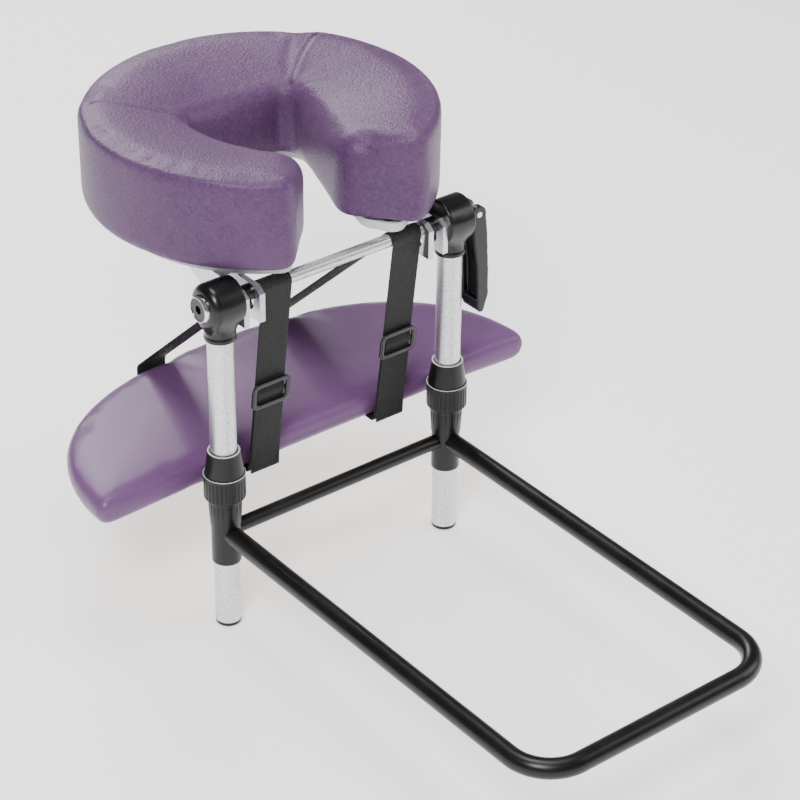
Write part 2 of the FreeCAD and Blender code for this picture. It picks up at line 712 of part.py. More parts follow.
def horseshoe(body, name, radius, margin, throat, tip, lift=None):
    """The closed outline of a horseshoe: one round outer edge and a tapered opening.

    margin widens the opening, and tip is half the width between the lobes.
    """
    sketch = make_sketch(body, "XY_Plane", name, lift)
    centre = S["cushion_centre"]
    half = S["opening_half"] + margin
    back = S["opening_back"] + margin
    reach = float(radius)
    tip_y = float(centre) - math.sqrt(reach ** 2 - float(tip) ** 2)
    corners = [(tip, tip_y), throat, (half, back), (-half, back),
               (-throat[0], throat[1]), (-tip, tip_y)]
    spots = [FreeCAD.Vector(float(u), float(v), 0) for u, v in corners]
    for i in range(5):
        sketch.addGeometry(Part.LineSegment(spots[i], spots[i + 1]))
    start = math.atan2(tip_y - float(centre), float(tip))
    whole = Part.Circle(FreeCAD.Vector(0, float(centre), 0), FreeCAD.Vector(0, 0, 1), reach)
    sketch.addGeometry(Part.ArcOfCircle(whole, start, math.pi - start))
    for i in range(4):
        sketch.addConstraint(Sketcher.Constraint("Coincident", i, 2, i + 1, 1))
    sketch.addConstraint(Sketcher.Constraint("Coincident", 0, 1, 5, 1))
    sketch.addConstraint(Sketcher.Constraint("Coincident", 4, 2, 5, 2))
    for i in range(1, 5):
        pin_point(sketch, i, 1, *corners[i])
    pin_point(sketch, 5, 3, 0.0, centre)
    number = sketch.addConstraint(Sketcher.Constraint("Radius", 5, reach))
    bind(sketch, "Constraints[%d]" % number, radius)
    for edge, end, size in ((0, 1, tip), (4, 2, -tip)):
        rule = Sketcher.Constraint("DistanceX", -1, 1, edge, end, float(size))
        number = sketch.addConstraint(rule)
        bind(sketch, "Constraints[%d]" % number, size)
    return sketch, corners


def make_horseshoe(label, base, height, radius, margin, throat, tip, rounds):
    """A flat horseshoe whose corners are rounded: back, throat and tip."""
    body = make_body(label, z=base)
    sketch, corners = horseshoe(body, label + "_outline", radius, margin, throat, tip)
    pad(body, sketch, height)
    for number, (first, second) in enumerate(((2, 3), (1, 4), (0, 5))):
        pair = (corners[first], corners[second])
        round_off(body, "%s_round%d" % (label, number),
                  lambda shape: upright_edges(shape, pair), rounds[number])
    return body


def make_platform():
    """The grey plate under the face cushion, drilled for the bracket screws."""
    margin = S["opening_margin"]
    throat = (S["throat_half"] + margin + 2.0, S["throat_y"] - 4.0)
    body = make_horseshoe("platform", plate_base, S["plate_wall"], S["plate_radius"],
                          margin, throat, S["lobe_half"] - 15.0, PLATE_ROUNDS)
    holes = make_sketch(body, "XY_Plane", "platform_holes", -1.0)
    for x in (-bracket_x, bracket_x):
        for y in screw_rows():
            add_circle(holes, x, y, S["screw_d"] / 2)
    pocket(body, holes, S["plate_wall"] - 1.0, back=True)
    return body


def make_platform_screws():
    """Four pan-head screws through the webs into the platform."""
    web = S["plate_rise"] - S["web_wall"]
    shanks = []
    for side in (-1, 1):
        for y in screw_rows():
            name = "platform_screw%d" % (len(shanks) + 1)
            body = make_body(name, side * bracket_x, y, pivot + web)
            head_r = S["screw_head_d"] / 2
            shank_r = S["screw_d"] / 2
            profile = outline(body, "XZ_Plane", name + "_profile", [
                (0.0, -3.0), (head_r - 1.0, -3.0), (head_r, -2.0), (head_r, 0.0),
                (shank_r, 0.0), (shank_r, 10.0), (0.0, 10.0)])
            spin(body, profile, "V_Axis")
            shanks.append(body)
    group = doc.addObject("Part::Compound", "platform_screws")
    group.Label = "platform_screws"
    group.Links = shanks
    return group


def make_tape(label, base):
    """One half of the hook-and-loop fastening, cut to the platform's shape."""
    margin = S["opening_margin"] + S["tape_inset"]
    throat = (S["throat_half"] + margin + 4.0, S["throat_y"] + 4.0)
    return make_horseshoe(label, base, S["tape_wall"], S["plate_radius"] - S["tape_inset"],
                          margin, throat, S["lobe_half"] - 18.0, TAPE_ROUNDS)


def make_cushion():
    """The horseshoe face cushion, whose top falls towards the opening."""
    throat = (S["throat_half"], S["throat_y"])
    body = make_horseshoe("face_cushion", cushion_base, S["cushion_height"],
                          S["cushion_radius"], 0.0, throat, S["lobe_half"],
                          CUSHION_ROUNDS)
    height = S["cushion_height"]
    low = height - S["cushion_dish"] - S["dish_extra"]
    rim = S["cushion_centre"] + S["cushion_radius"] + S["dish_beyond"]
    dish = outline(body, "YZ_Plane", "face_cushion_dish", [
        (S["cushion_centre"], low), (rim, height + S["dish_over"]),
        (S["cushion_centre"], height + S["dish_over"])])
    groove = body.newObject("PartDesign::Groove", "face_cushion_fall")
    groove.Profile = dish
    groove.ReferenceAxis = (dish, ["Edge3"])
    groove.Angle = 360.0
    return body


# ---------------------------------------------------------------- arm shelf


def shelf_outline(inset):
    """The D-shaped outline: a straight front edge and a superellipse behind it."""
    half = float(S["shelf_half"]) - inset
    depth = float(S["shelf_depth"]) - 2 * inset
    front = float(shelf_front) + inset
    power = 2 / float(S["shelf_power"])
    points = []
    for step in range(DETAIL + 1):
        angle = math.pi * step / DETAIL
        across = math.copysign(abs(math.cos(angle)) ** power, math.cos(angle))
        points.append(FreeCAD.Vector(half * across, front + depth * math.sin(angle) ** power, 0))
    curve = Part.BSplineCurve()
    curve.interpolate(points)
    straight = Part.LineSegment(points[-1], points[0])
    return Part.Face(Part.Wire([curve.toShape(), straight.toShape()]))


def make_shelf_board():
    """The stiff board let into the underside of the shelf pad."""
    board = shelf_outline(float(S["board_inset"]))
    item = doc.addObject("Part::Feature", "shelf_board")
    item.Label = "shelf_board"
    item.Shape = board.extrude(FreeCAD.Vector(0, 0, float(S["board_wall"])))
    place(item, 0.0, 0.0, S["shelf_base"])
    return item


def make_shelf_pad():
    """The padded D-shaped shelf, with the board's pocket in its underside."""
    pad_shape = shelf_outline(0.0).extrude(FreeCAD.Vector(0, 0, float(S["shelf_height"])))
    soft = float(S["shelf_round"])
    tops = [edge for edge in pad_shape.Edges if edge.BoundBox.ZMin > soft]
    pad_shape = pad_shape.makeFillet(soft, tops)
    lows = [edge for edge in pad_shape.Edges if edge.BoundBox.ZMax < 0.01]
    pad_shape = pad_shape.makeFillet(soft * UNDER_SHARE, lows)
    item = doc.addObject("Part::Feature", "shelf_pad")
    item.Label = "shelf_pad"
    item.Shape = pad_shape.cut(shelf_outline(float(S["board_inset"])).extrude(
        FreeCAD.Vector(0, 0, float(S["board_wall"]))))
    place(item, 0.0, 0.0, S["shelf_base"])
    return item


def shelf_back(x):
    """The shelf's back edge at one place across it."""
    power = float(S["shelf_power"])
    share = (1 - (abs(x) / float(S["shelf_half"])) ** power) ** (1 / power)
    return float(shelf_front) + float(S["shelf_depth"]) * share


def belt_wire(rounds, grow):
    """A taut belt round a ring of circles, given anticlockwise in the YZ plane."""
    count = len(rounds)
    ends = []
    for i in range(count):
        (y1, z1, r1), (y2, z2, r2) = rounds[i], rounds[(i + 1) % count]
        r1 += grow
        r2 += grow
        span = math.hypot(y2 - y1, z2 - z1)
        lean = math.atan2(z2 - z1, y2 - y1) - math.pi / 2 - math.asin((r2 - r1) / span)
        side = FreeCAD.Vector(0, math.cos(lean), math.sin(lean))
        ends.append((FreeCAD.Vector(0, y1, z1) + side * r1, FreeCAD.Vector(0, y2, z2) + side * r2))
    edges = []
    for i in range(count):
        start, stop = ends[i]
        edges.append(Part.LineSegment(start, stop).toShape())
        y, z, radius = rounds[(i + 1) % count]
        after = ends[(i + 1) % count][0]
        middle = (stop + after) * 0.5 - FreeCAD.Vector(0, y, z)
        if middle.Length < 1e-6:
            continue
        middle.normalize()
        top = FreeCAD.Vector(0, y, z) + middle * (radius + grow)
        edges.append(Part.Arc(stop, top, after).toShape())
    return Part.Wire(edges), ends


def strap_rounds():
    """The circles that a strap goes round: the crossbar and three of the shelf's edges."""
    gap = float(S["strap_gap"])
    soft = float(S["shelf_round"])
    low = soft * UNDER_SHARE
    base = float(S["shelf_base"])
    top = base + float(S["shelf_height"])
    front = float(shelf_front)
    back = shelf_back(float(S["strap_place"]) - float(S["strap_width"]) / 2)
    return [(0.0, float(pivot), float(S["crossbar_d"]) / 2 + gap),
            (front + low, base + low, low + gap),
            (back - low, base + low, low + gap),
            (back - soft, top - soft, soft + gap)]


def front_leg():
    """The straight front stretch of a strap, outer face, from the top to the shelf."""
    ends = belt_wire(strap_rounds(), float(S["strap_wall"]))[1]
    return ends[0]


def make_strap(name, side):
    """One webbing sling round the crossbar and the shelf, with its loose end."""
    wall = float(S["strap_wall"])
    outer = belt_wire(strap_rounds(), wall)[0]
    inner = belt_wire(strap_rounds(), 0.0)[0]
    width = float(S["strap_width"])
    loop = Part.Face(outer).cut(Part.Face(inner))
    band = loop.extrude(FreeCAD.Vector(width, 0, 0))
    top, bottom = front_leg()
    run = (bottom - top).normalize()
    out = FreeCAD.Vector(0, run.z, -run.y)
    if out.y > 0:
        out = out * -1
    start = bottom - run * float(S["tail_length"])
    finish = bottom - run * TAIL_ROOT
    corners = [start, finish, finish + out * wall, start + out * wall, start]
    tail = Part.Face(Part.makePolygon(corners)).extrude(FreeCAD.Vector(width, 0, 0))
    item = doc.addObject("Part::Feature", name + "_strap")
    item.Label = name + "_strap"
    item.Shape = band.fuse(tail).removeSplitter()
    place(item, side * S["strap_place"] - S["strap_width"] / 2, 0.0, 0.0)
    return item


def make_glide(name, side):
    """The adjusting buckle: end bars before the webbing and a middle bar behind it."""
    top, bottom = front_leg()
    run = (top - bottom).normalize()
    level = float(S["shelf_base"] + S["tail_length"] + S["glide_above"])
    share = (level - bottom.z) / (top.z - bottom.z)
    out = FreeCAD.Vector(0, -run.z, run.y)
    centre = bottom + (top - bottom) * share - out * (float(S["strap_wall"]) / 2)
    gap = float(S["strap_gap"])
    bar = float(S["glide_bar"])
    wall = float(S["glide_wall"])
    width = float(S["glide_width"])
    tall = float(S["glide_height"])
    near = float(S["strap_wall"]) / 2 + gap
    deep = 2 * (near + wall)
    spots = [(-width / 2, -deep / 2, -tall / 2, bar, deep, tall),
             (width / 2 - bar, -deep / 2, -tall / 2, bar, deep, tall),
             (-width / 2, -deep / 2, -tall / 2, width, wall, bar),
             (-width / 2, -deep / 2, tall / 2 - bar, width, wall, bar),
             (-width / 2, near, -bar / 2, width, wall, bar)]
    pieces = []
    for x, y, z, along, thick, high in spots:
        pieces.append(Part.makeBox(along, thick, high, FreeCAD.Vector(x, y, z)))
    shape = pieces[0].multiFuse(pieces[1:]).removeSplitter()
    corners = [edge for edge in shape.Edges
               if abs(edge.BoundBox.YLength - deep) < 0.01 and edge.BoundBox.ZLength < 0.01
               and abs(abs(edge.CenterOfMass.x) - width / 2) < 0.01]
    item = doc.addObject("Part::Feature", name + "_tri_glide")
    item.Label = name + "_tri_glide"
    item.Shape = shape.makeFillet(GLIDE_ROUND, corners)
    tilt = FreeCAD.Rotation(FreeCAD.Vector(1, 0, 0), math.degrees(math.atan2(-run.y, run.z)))
    item.Placement = FreeCAD.Placement(FreeCAD.Vector(0, centre.y, centre.z), tilt)
    bind(item, ".Placement.Base.x", side * S["strap_place"])
    return item


# ---------------------------------------------------------------- assembly

post_length = pivot - S["post_stop"] + S["post_below"] - S["plug_lip"]
PIECES = [make_u_frame(), make_back_bar()]
for name, side in SIDES:
    centre = side * half_span
    PIECES.append(make_tube(name + "_sleeve", sleeve_r, sleeve_r - S["sleeve_wall"],
                            -S["sleeve_below"], sleeve_top + S["sleeve_below"], centre))
    PIECES.append(make_tube(name + "_post", post_r, post_r - S["post_wall"],
                            S["plug_lip"] - S["post_below"], post_length, centre))
    PIECES.append(make_collar_body(name, side))
    PIECES.append(make_collet(name, side))
    PIECES.append(make_lock_nut(name, side))
    PIECES.append(make_foot_plug(name, side))
    reach = S["head_outer_left"] if side < 0 else right_outer
    PIECES.append(make_head(name, side, reach))
    PIECES.append(make_pivot_bush(name, side))
    PIECES.append(make_bracket(name, side))
    PIECES.append(make_strap(name, side))
    PIECES.append(make_glide(name, side))
PIECES += [make_crossbar(), make_tie_rod(), make_rod_nut(), make_nut_ring(),
           make_cam_washer(), make_cam_lever(), make_lever_pin(), make_platform(),
           make_platform_screws(), make_tape("hook_tape", plate_top),
           make_tape("loop_tape", loop_base), make_cushion()]
PIECES += [make_shelf_board(), make_shelf_pad()]

doc.recompute()
for item in doc.Objects:
    if "Invalid" in item.State or "Error" in item.State:
        raise RuntimeError("%s failed: %s" % (item.Name, item.State))
for item in PIECES:
    if item.Shape.isNull() or not item.Shape.isValid():
        raise RuntimeError("%s has no valid shape" % item.Label)

os.makedirs("parts", exist_ok=True)
for item in PIECES:
    item.Shape.exportStep("parts/%s.step" % item.Label)
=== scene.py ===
import math
import bmesh
import bpy
import numpy as np
from mathutils import Matrix, Vector


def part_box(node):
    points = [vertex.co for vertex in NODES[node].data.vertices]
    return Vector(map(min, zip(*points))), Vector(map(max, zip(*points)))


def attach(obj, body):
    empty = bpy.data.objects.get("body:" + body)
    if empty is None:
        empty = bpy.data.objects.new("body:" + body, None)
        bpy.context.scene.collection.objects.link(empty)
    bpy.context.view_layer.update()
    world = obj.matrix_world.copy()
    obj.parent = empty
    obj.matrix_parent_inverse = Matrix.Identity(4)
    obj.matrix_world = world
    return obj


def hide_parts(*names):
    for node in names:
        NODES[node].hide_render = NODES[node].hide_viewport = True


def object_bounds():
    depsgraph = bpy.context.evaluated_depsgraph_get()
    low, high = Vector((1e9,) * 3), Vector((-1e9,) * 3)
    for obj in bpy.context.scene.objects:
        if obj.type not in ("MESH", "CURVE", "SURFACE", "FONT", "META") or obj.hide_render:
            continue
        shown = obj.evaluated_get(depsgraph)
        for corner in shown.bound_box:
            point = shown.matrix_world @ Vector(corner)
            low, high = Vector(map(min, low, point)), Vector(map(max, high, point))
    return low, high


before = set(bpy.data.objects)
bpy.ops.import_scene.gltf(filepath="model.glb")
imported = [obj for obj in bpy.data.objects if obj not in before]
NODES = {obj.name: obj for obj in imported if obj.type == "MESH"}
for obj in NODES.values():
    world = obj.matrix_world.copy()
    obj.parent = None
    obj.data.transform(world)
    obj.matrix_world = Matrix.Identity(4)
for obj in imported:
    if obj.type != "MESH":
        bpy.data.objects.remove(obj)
CAD_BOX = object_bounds()

# Everything is in metres, in the CAD frame: +X along the crossbar, -Y under the
# mattress, +Z up.  MM turns a size in millimetres into metres.
MM = 0.001
SIDES = (("left", -1.0), ("right", 1.0))

# ------------------------------------------------------------------ sizes

CUSHION_LOW, CUSHION_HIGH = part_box("face_cushion")
SHELF_LOW, SHELF_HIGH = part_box("shelf_pad")
BAR_LOW, BAR_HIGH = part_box("crossbar")
BAR_Z = (BAR_LOW.z + BAR_HIGH.z) / 2
BAR_R = (BAR_HIGH.z - BAR_LOW.z) / 2

CUSHION_R = CUSHION_HIGH.x
CENTRE_Y = CUSHION_HIGH.y - CUSHION_R
SPINE_R = 110 * MM                # middle line of the horseshoe
SPINE_END = math.radians(-38.0)   # where that line stops in each lobe
OPENING_BACK = 160 * MM           # the opening's back corners
OPENING_HALF = 63 * MM
THROAT = (19 * MM, 22.3 * MM)     # the narrowest place of the opening
LOBE_HALF = 76 * MM               # from the middle to a lobe's tip
STRAP_X = 76 * MM
STRAP_WIDTH = 34 * MM
STRAP_WALL = 1.4 * MM
STRAP_GAP = 0.3 * MM              # between a strap and what it goes round
SHELF_POWER = 2.4                 # of the superellipse behind the shelf's front
SHELF_ROUND = 9 * MM              # roll of the shelf's top edge, and below it
SHELF_UNDER = 5.4 * MM
GLIDE_LEVEL = SHELF_LOW.z + 92.5 * MM
HEAD_R = 22 * MM
NECK_R = 13.9 * MM
HEAD_INNER = 16 * MM              # from a post's axis to its head's inner face
POST_X = 135 * MM
BASE_GAP = 0.2 * MM               # soft skins stay this far above their drawn base

# Settings of the short cloth simulation that stuffs the soft pieces.
CLOTH_FRAMES = 20
CLOTH_PRESSURE = 4.0
CLOTH_MASS = 0.3
CLOTH_STIFFNESS = 25
CLOTH_BENDING = 2.0


# ------------------------------------------------------------------ meshes


def mesh_piece(name, points, faces, uv=None):
    """A new object from an (n, 3) array of points and a list or array of faces."""
    mesh = bpy.data.meshes.new(name)
    mesh.from_pydata(np.asarray(points, float).tolist(), [], np.asarray(faces).tolist())
    if uv is not None:
        layer = mesh.uv_layers.new(name="UVMap")
        corners = np.zeros(len(mesh.loops), np.int32)
        mesh.loops.foreach_get("vertex_index", corners)
        layer.data.foreach_set("uv", np.asarray(uv, np.float32)[corners].ravel())
    mesh.validate()
    mesh.update()
    piece = bpy.data.objects.new(name, mesh)
    bpy.context.scene.collection.objects.link(piece)
    return piece


def smooth(piece):
    """Shades every face of a piece smooth."""
    flags = np.ones(len(piece.data.polygons), bool)
    piece.data.polygons.foreach_set("use_smooth", flags)
    return piece


def grid_faces(rows, columns, close_rows=False, close_columns=False):
    """The quads of a grid of rows x columns points, open or closed either way."""
    down = np.arange(rows if close_rows else rows - 1)
    along = np.arange(columns if close_columns else columns - 1)
    i, j = np.meshgrid(down, along, indexing="ij")
    i2 = (i + 1) % rows
    j2 = (j + 1) % columns
    quads = np.stack([i * columns + j, i * columns + j2, i2 * columns + j2, i2 * columns + j], -1)
    return quads.reshape(-1, 4)


def get_points(mesh):
    """The vertices of a mesh as an (n, 3) array."""
    points = np.zeros(len(mesh.vertices) * 3, np.float32)
    mesh.vertices.foreach_get("co", points)
    return points.reshape(-1, 3).astype(float)


def get_normals(mesh):
    """The vertex normals of a mesh as an (n, 3) array."""
    normals = np.zeros(len(mesh.vertices) * 3, np.float32)
    mesh.vertex_normals.foreach_get("vector", normals)
    return normals.reshape(-1, 3).astype(float)


def set_points(mesh, points):
    """Moves the vertices of a mesh to the given places."""
    mesh.vertices.foreach_set("co", np.asarray(points, np.float32).ravel())
    mesh.update()


def tidy(piece):
    """Merges doubles and turns every face outwards."""
    distance = 0.01 * MM
    work = bmesh.new()
    work.from_mesh(piece.data)
    bmesh.ops.remove_doubles(work, verts=work.verts, dist=distance)
    bmesh.ops.dissolve_degenerate(work, edges=work.edges, dist=distance)
    bmesh.ops.recalc_face_normals(work, faces=work.faces)
    work.to_mesh(piece.data)
    work.free()
    return piece


def bake(piece):
    """Applies all the piece's modifiers."""
    graph = bpy.context.evaluated_depsgraph_get()
    graph.update()
    done = bpy.data.meshes.new_from_object(piece.evaluated_get(graph))
    piece.modifiers.clear()
    piece.data = done
    return piece


def remesh(piece, voxel, relax):
    """Rebuilds a closed piece as even quads, then relaxes them."""
    grid = piece.modifiers.new("remesh", "REMESH")
    grid.mode = "VOXEL"
    grid.voxel_size = voxel
    soften = piece.modifiers.new("soften", "SMOOTH")
    soften.factor = 0.5
    soften.iterations = relax
    return bake(piece)


def subdivide(piece):
    """Applies one level of subdivision."""
    finer = piece.modifiers.new("finer", "SUBSURF")
    finer.levels = 1
    finer.render_levels = 1
    return bake(piece)


def inflate(piece, cap):
    """Puffs a closed piece with a short cloth simulation.

    Each point's move is cut to cap * tanh(move / cap), so that none passes cap.
    """
    before = get_points(piece.data)
    cloth = piece.modifiers.new("cloth", "CLOTH")
    settings = cloth.settings
    settings.quality = 5
    settings.mass = CLOTH_MASS
    settings.tension_stiffness = CLOTH_STIFFNESS
    settings.compression_stiffness = CLOTH_STIFFNESS
    settings.bending_stiffness = CLOTH_BENDING
    settings.use_pressure = True
    settings.uniform_pressure_force = CLOTH_PRESSURE
    settings.effector_weights.gravity = 0.0
    cloth.point_cache.frame_start = 1
    cloth.point_cache.frame_end = CLOTH_FRAMES
    scene = bpy.context.scene
    for number in range(1, CLOTH_FRAMES + 1):
        scene.frame_set(number)
    bake(piece)
    scene.frame_set(1)
    moved = get_points(piece.data) - before
    length = np.linalg.norm(moved, axis=1, keepdims=True)
    share = cap * np.tanh(length / cap) / np.maximum(length, 1e-9)
    set_points(piece.data, before + moved * share)
    return piece


def along_path(path, section, closed=False, up=(1.0, 0.0, 0.0)):
    """A section carried along a path.

    path is (n, 3); section is (m, 2) of (across, out).  across runs along up, and
    out runs along the path's direction crossed with up.
    Point (i, j) = path[i] + across[j] * up + out[j] * side[i].
    """
    path = np.asarray(path, float)
    if closed:
        tangent = np.roll(path, -1, 0) - np.roll(path, 1, 0)
    else:
        tangent = np.gradient(path, axis=0)
    tangent /= np.linalg.norm(tangent, axis=1, keepdims=True)
    up = np.asarray(up, float)
    side = np.cross(tangent, up)
    side /= np.linalg.norm(side, axis=1, keepdims=True)
    section = np.asarray(section, float)
    points = (path[:, None, :] + section[None, :, 0, None] * up[None, None, :]
              + section[None, :, 1, None] * side[:, None, :])
    return points.reshape(-1, 3)


def sweep(name, path, section, closed=False, up=(1.0, 0.0, 0.0)):
    """A section carried along a path as one closed skin.

    Its UV map is in metres: u is the section's across, v the way along the path.
    """
    path = np.asarray(path, float)
    section = np.asarray(section, float)
    count = len(section)
    rings = along_path(path, section, closed, up).reshape(len(path), count, 3)
    along = np.r_[0, np.cumsum(np.linalg.norm(np.diff(path, axis=0), axis=1))]
    if not closed:
        ends = rings.mean(1, keepdims=True)
        rings = np.concatenate([np.repeat(ends[:1], count, 1), rings,
                                np.repeat(ends[-1:], count, 1)])
        along = np.r_[along[0], along, along[-1]]
    uv = np.stack([np.tile(section[:, 0], len(rings)), np.repeat(along, count)], -1)
    faces = grid_faces(len(rings), count, closed, True)
    return tidy(mesh_piece(name, rings.reshape(-1, 3), faces, uv))


def threads(name, paths, radius, up):
    """Many short threads in one piece, each a six-sided section along its path."""
    turn = np.linspace(0, 2 * math.pi, 7)[:-1]
    section = radius * np.stack([np.cos(turn), np.sin(turn)], -1)
    points, faces = [], []
    for number, path in enumerate(paths):
        rings = along_path(path, section, up=up)
        faces.append(grid_faces(len(path), len(section), False, True) + number * len(rings))
        points.append(rings)
    return mesh_piece(name, np.concatenate(points), np.concatenate(faces))


def rounded_bar(width, height, power, count):
    """A section |x / (w/2)|^p + |y / (h/2)|^p = 1, with count points."""
    turn = np.linspace(0, 2 * math.pi, count + 1)[:-1]
    wave = np.stack([np.cos(turn), np.sin(turn)], -1)
    return np.sign(wave) * np.abs(wave) ** (2 / power) * np.array([width, height]) / 2


def resample(path, step, closed=False):
    """The same path with evenly spaced points about step apart."""
    path = np.asarray(path, float)
    if closed:
        path = np.vstack([path, path[:1]])
    span = np.r_[0, np.cumsum(np.linalg.norm(np.diff(path, axis=0), axis=1))]
    count = max(int(round(span[-1] / step)), 2)
    places = np.linspace(0, span[-1], count + 1)
    if closed:
        places = places[:-1]
    return np.stack([np.interp(places, span, path[:, k]) for k in range(path.shape[1])], -1)


def distance_to(points, curve):
    """How far each point is from a curve of straight bits, and how far along it is."""
    best = np.full(len(points), np.inf)
    place = np.zeros(len(points))
    start = 0.0
    for a, b in zip(curve[:-1], curve[1:]):
        run = b - a
        length = np.linalg.norm(run)
        share = np.clip(((points - a) @ run) / length ** 2, 0, 1)
        gap = np.linalg.norm(points - (a + share[:, None] * run), axis=1)
        nearer = gap < best
        best[nearer] = gap[nearer]
        place[nearer] = start + share[nearer] * length
        start += length
    return best, place


def smoothstep(low, high, value):
    """0 below low, 1 above high, and a smooth ramp between."""
    t = np.clip((value - low) / (high - low), 0, 1)
    return t * t * (3 - 2 * t)


def add_attribute(piece, name, values):
    """Stores one number for each vertex."""
    layer = piece.data.attributes.new(name, "FLOAT", "POINT")
    layer.data.foreach_set("value", np.asarray(values, np.float32))


def finish_piece(piece, material, body, replaces=()):
    """Gives a piece its material, the body it rides on and the node it stands for."""
    piece.data.materials.clear()
    piece.data.materials.append(material)
    smooth(piece)
    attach(piece, body)
    if replaces:
        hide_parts(*replaces)
    return piece


# ------------------------------------------------------------------ materials

# Socket numbers of a Mix node that mixes colours.
MIX_FROM, MIX_TO, MIX_OUT = 6, 7, 2


def tint(code):
    """A colour given as sRGB hex, turned to linear."""
    parts = [int(code[i:i + 2], 16) / 255 for i in (1, 3, 5)]
    line = [c / 12.92 if c <= 0.04045 else ((c + 0.055) / 1.055) ** 2.4 for c in parts]
    return (*line, 1.0)


def fill(tree, socket, value):
    """Fills a socket: a pair (node, output) becomes a link, anything else a constant."""
    if isinstance(value, tuple) and hasattr(value[0], "outputs"):
        tree.links.new(value[0].outputs[value[1]], socket)
    else:
        socket.default_value = value


def add(tree, kind, inputs=None, **settings):
    """Adds one node with its settings, and fills its inputs by name or number."""
    item = tree.nodes.new(kind)
    for name, value in settings.items():
        setattr(item, name, value)
    for name, value in (inputs or {}).items():
        fill(tree, item.inputs[name], value)
    return item


def drive(tree, shader, **values):
    """Fills the shader's sockets; an underscore in a key stands for a space."""
    for key, value in values.items():
        fill(tree, shader.inputs[key.replace("_", " ")], value)


def surface(name, **values):
    """A new material, its node tree and its shader with the given constants."""
    material = bpy.data.materials.new(name)
    material.use_nodes = True
    tree = material.node_tree
    shader = tree.nodes["Principled BSDF"]
    drive(tree, shader, **values)
    return material, tree, shader


def leatherette(name, body_hex, deep_hex, light_hex, grain, depth, roughness):
    """Embossed polyurethane leather: pebbles with creases, darker in the seams.

    Height = distance from each pebble's middle + creased noise.  grain is the size of
    a pebble and depth that of the relief, in metres.  The attribute seam darkens.
    """
    material, tree, shader = surface(name, Roughness=roughness, IOR=1.36,
                                     Sheen_Weight=0.03, Sheen_Roughness=0.45)
    where = (add(tree, "ShaderNodeTexCoord"), "Object")
    pebbles = add(tree, "ShaderNodeTexVoronoi", {"Vector": where, "Scale": 1 / grain,
                                                 "Randomness": 0.9, "Smoothness": 0.55},
                  feature="SMOOTH_F1")
    creases = add(tree, "ShaderNodeTexNoise", {"Vector": where, "Scale": 0.55 / grain,
                                               "Detail": 4.0, "Roughness": 0.6,
                                               "Distortion": 1.3})
    fine = add(tree, "ShaderNodeTexNoise", {"Vector": where, "Scale": 2.4 / grain,
                                            "Detail": 2.0, "Roughness": 0.5})
    # Broad patches, about 70 mm across.
    drift = add(tree, "ShaderNodeTexNoise", {"Vector": where, "Scale": 14.0, "Detail": 2.0})
    height = add(tree, "ShaderNodeMath", {0: (pebbles, "Distance"), 1: (creases, "Fac")},
                 operation="ADD")
    skin = add(tree, "ShaderNodeBump", {"Height": (fine, "Fac"), "Strength": 0.12,
                                        "Distance": depth * 0.4})
    relief = add(tree, "ShaderNodeBump", {"Height": (height, "Value"), "Strength": 0.85,
                                          "Distance": depth, "Normal": (skin, "Normal")})
    raised = add(tree, "ShaderNodeMapRange", {"Value": (creases, "Fac"), "From Min": 0.36,
                                              "From Max": 0.66})
    tone = add(tree, "ShaderNodeMix", {"Factor": (raised, "Result"), MIX_FROM: tint(deep_hex),
                                       MIX_TO: tint(body_hex)}, data_type="RGBA")
    faded = add(tree, "ShaderNodeMapRange", {"Value": (drift, "Fac"), "From Min": 0.35,
                                             "From Max": 0.72, "To Max": 0.45})
    worn = add(tree, "ShaderNodeMix", {"Factor": (faded, "Result"), MIX_FROM: (tone, MIX_OUT),
                                       MIX_TO: tint(light_hex)}, data_type="RGBA")
    seam = add(tree, "ShaderNodeAttribute", attribute_name="seam")
    sewn = add(tree, "ShaderNodeMix", {"Factor": (seam, "Fac"), MIX_FROM: (worn, MIX_OUT),
                                       MIX_TO: tint("#2c1a33")}, data_type="RGBA")
    drive(tree, shader, Base_Color=(sewn, MIX_OUT), Normal=(relief, "Normal"))
    return material


def blasted_aluminium(name, tone_hex, dark_hex, grit, roughness):
    """Clear anodised aluminium: bright grains of bead blasting over a satin metal."""
    material, tree, shader = surface(name, Metallic=1.0)
    where = (add(tree, "ShaderNodeTexCoord"), "Object")
    grains = add(tree, "ShaderNodeTexNoise", {"Vector": where, "Scale": 1 / grit,
                                              "Detail": 3.0, "Roughness": 0.7})
    # Handling marks, about 17 mm across.
    cloud = add(tree, "ShaderNodeTexNoise", {"Vector": where, "Scale": 60.0, "Detail": 2.0})
    bright = add(tree, "ShaderNodeMapRange", {"Value": (grains, "Fac"), "From Min": 0.38,
                                              "From Max": 0.62})
    tone = add(tree, "ShaderNodeMix", {"Factor": (bright, "Result"), MIX_FROM: tint(dark_hex),
                                       MIX_TO: tint(tone_hex)}, data_type="RGBA")
    rough = add(tree, "ShaderNodeMapRange", {"Value": (cloud, "Fac"), "To Min": roughness - 0.05,
                                             "To Max": roughness + 0.07})
    relief = add(tree, "ShaderNodeBump", {"Height": (grains, "Fac"), "Strength": 0.35,
                                          "Distance": 0.15 * MM})
    drive(tree, shader, Base_Color=(tone, MIX_OUT), Roughness=(rough, "Result"),
          Normal=(relief, "Normal"))
    return material


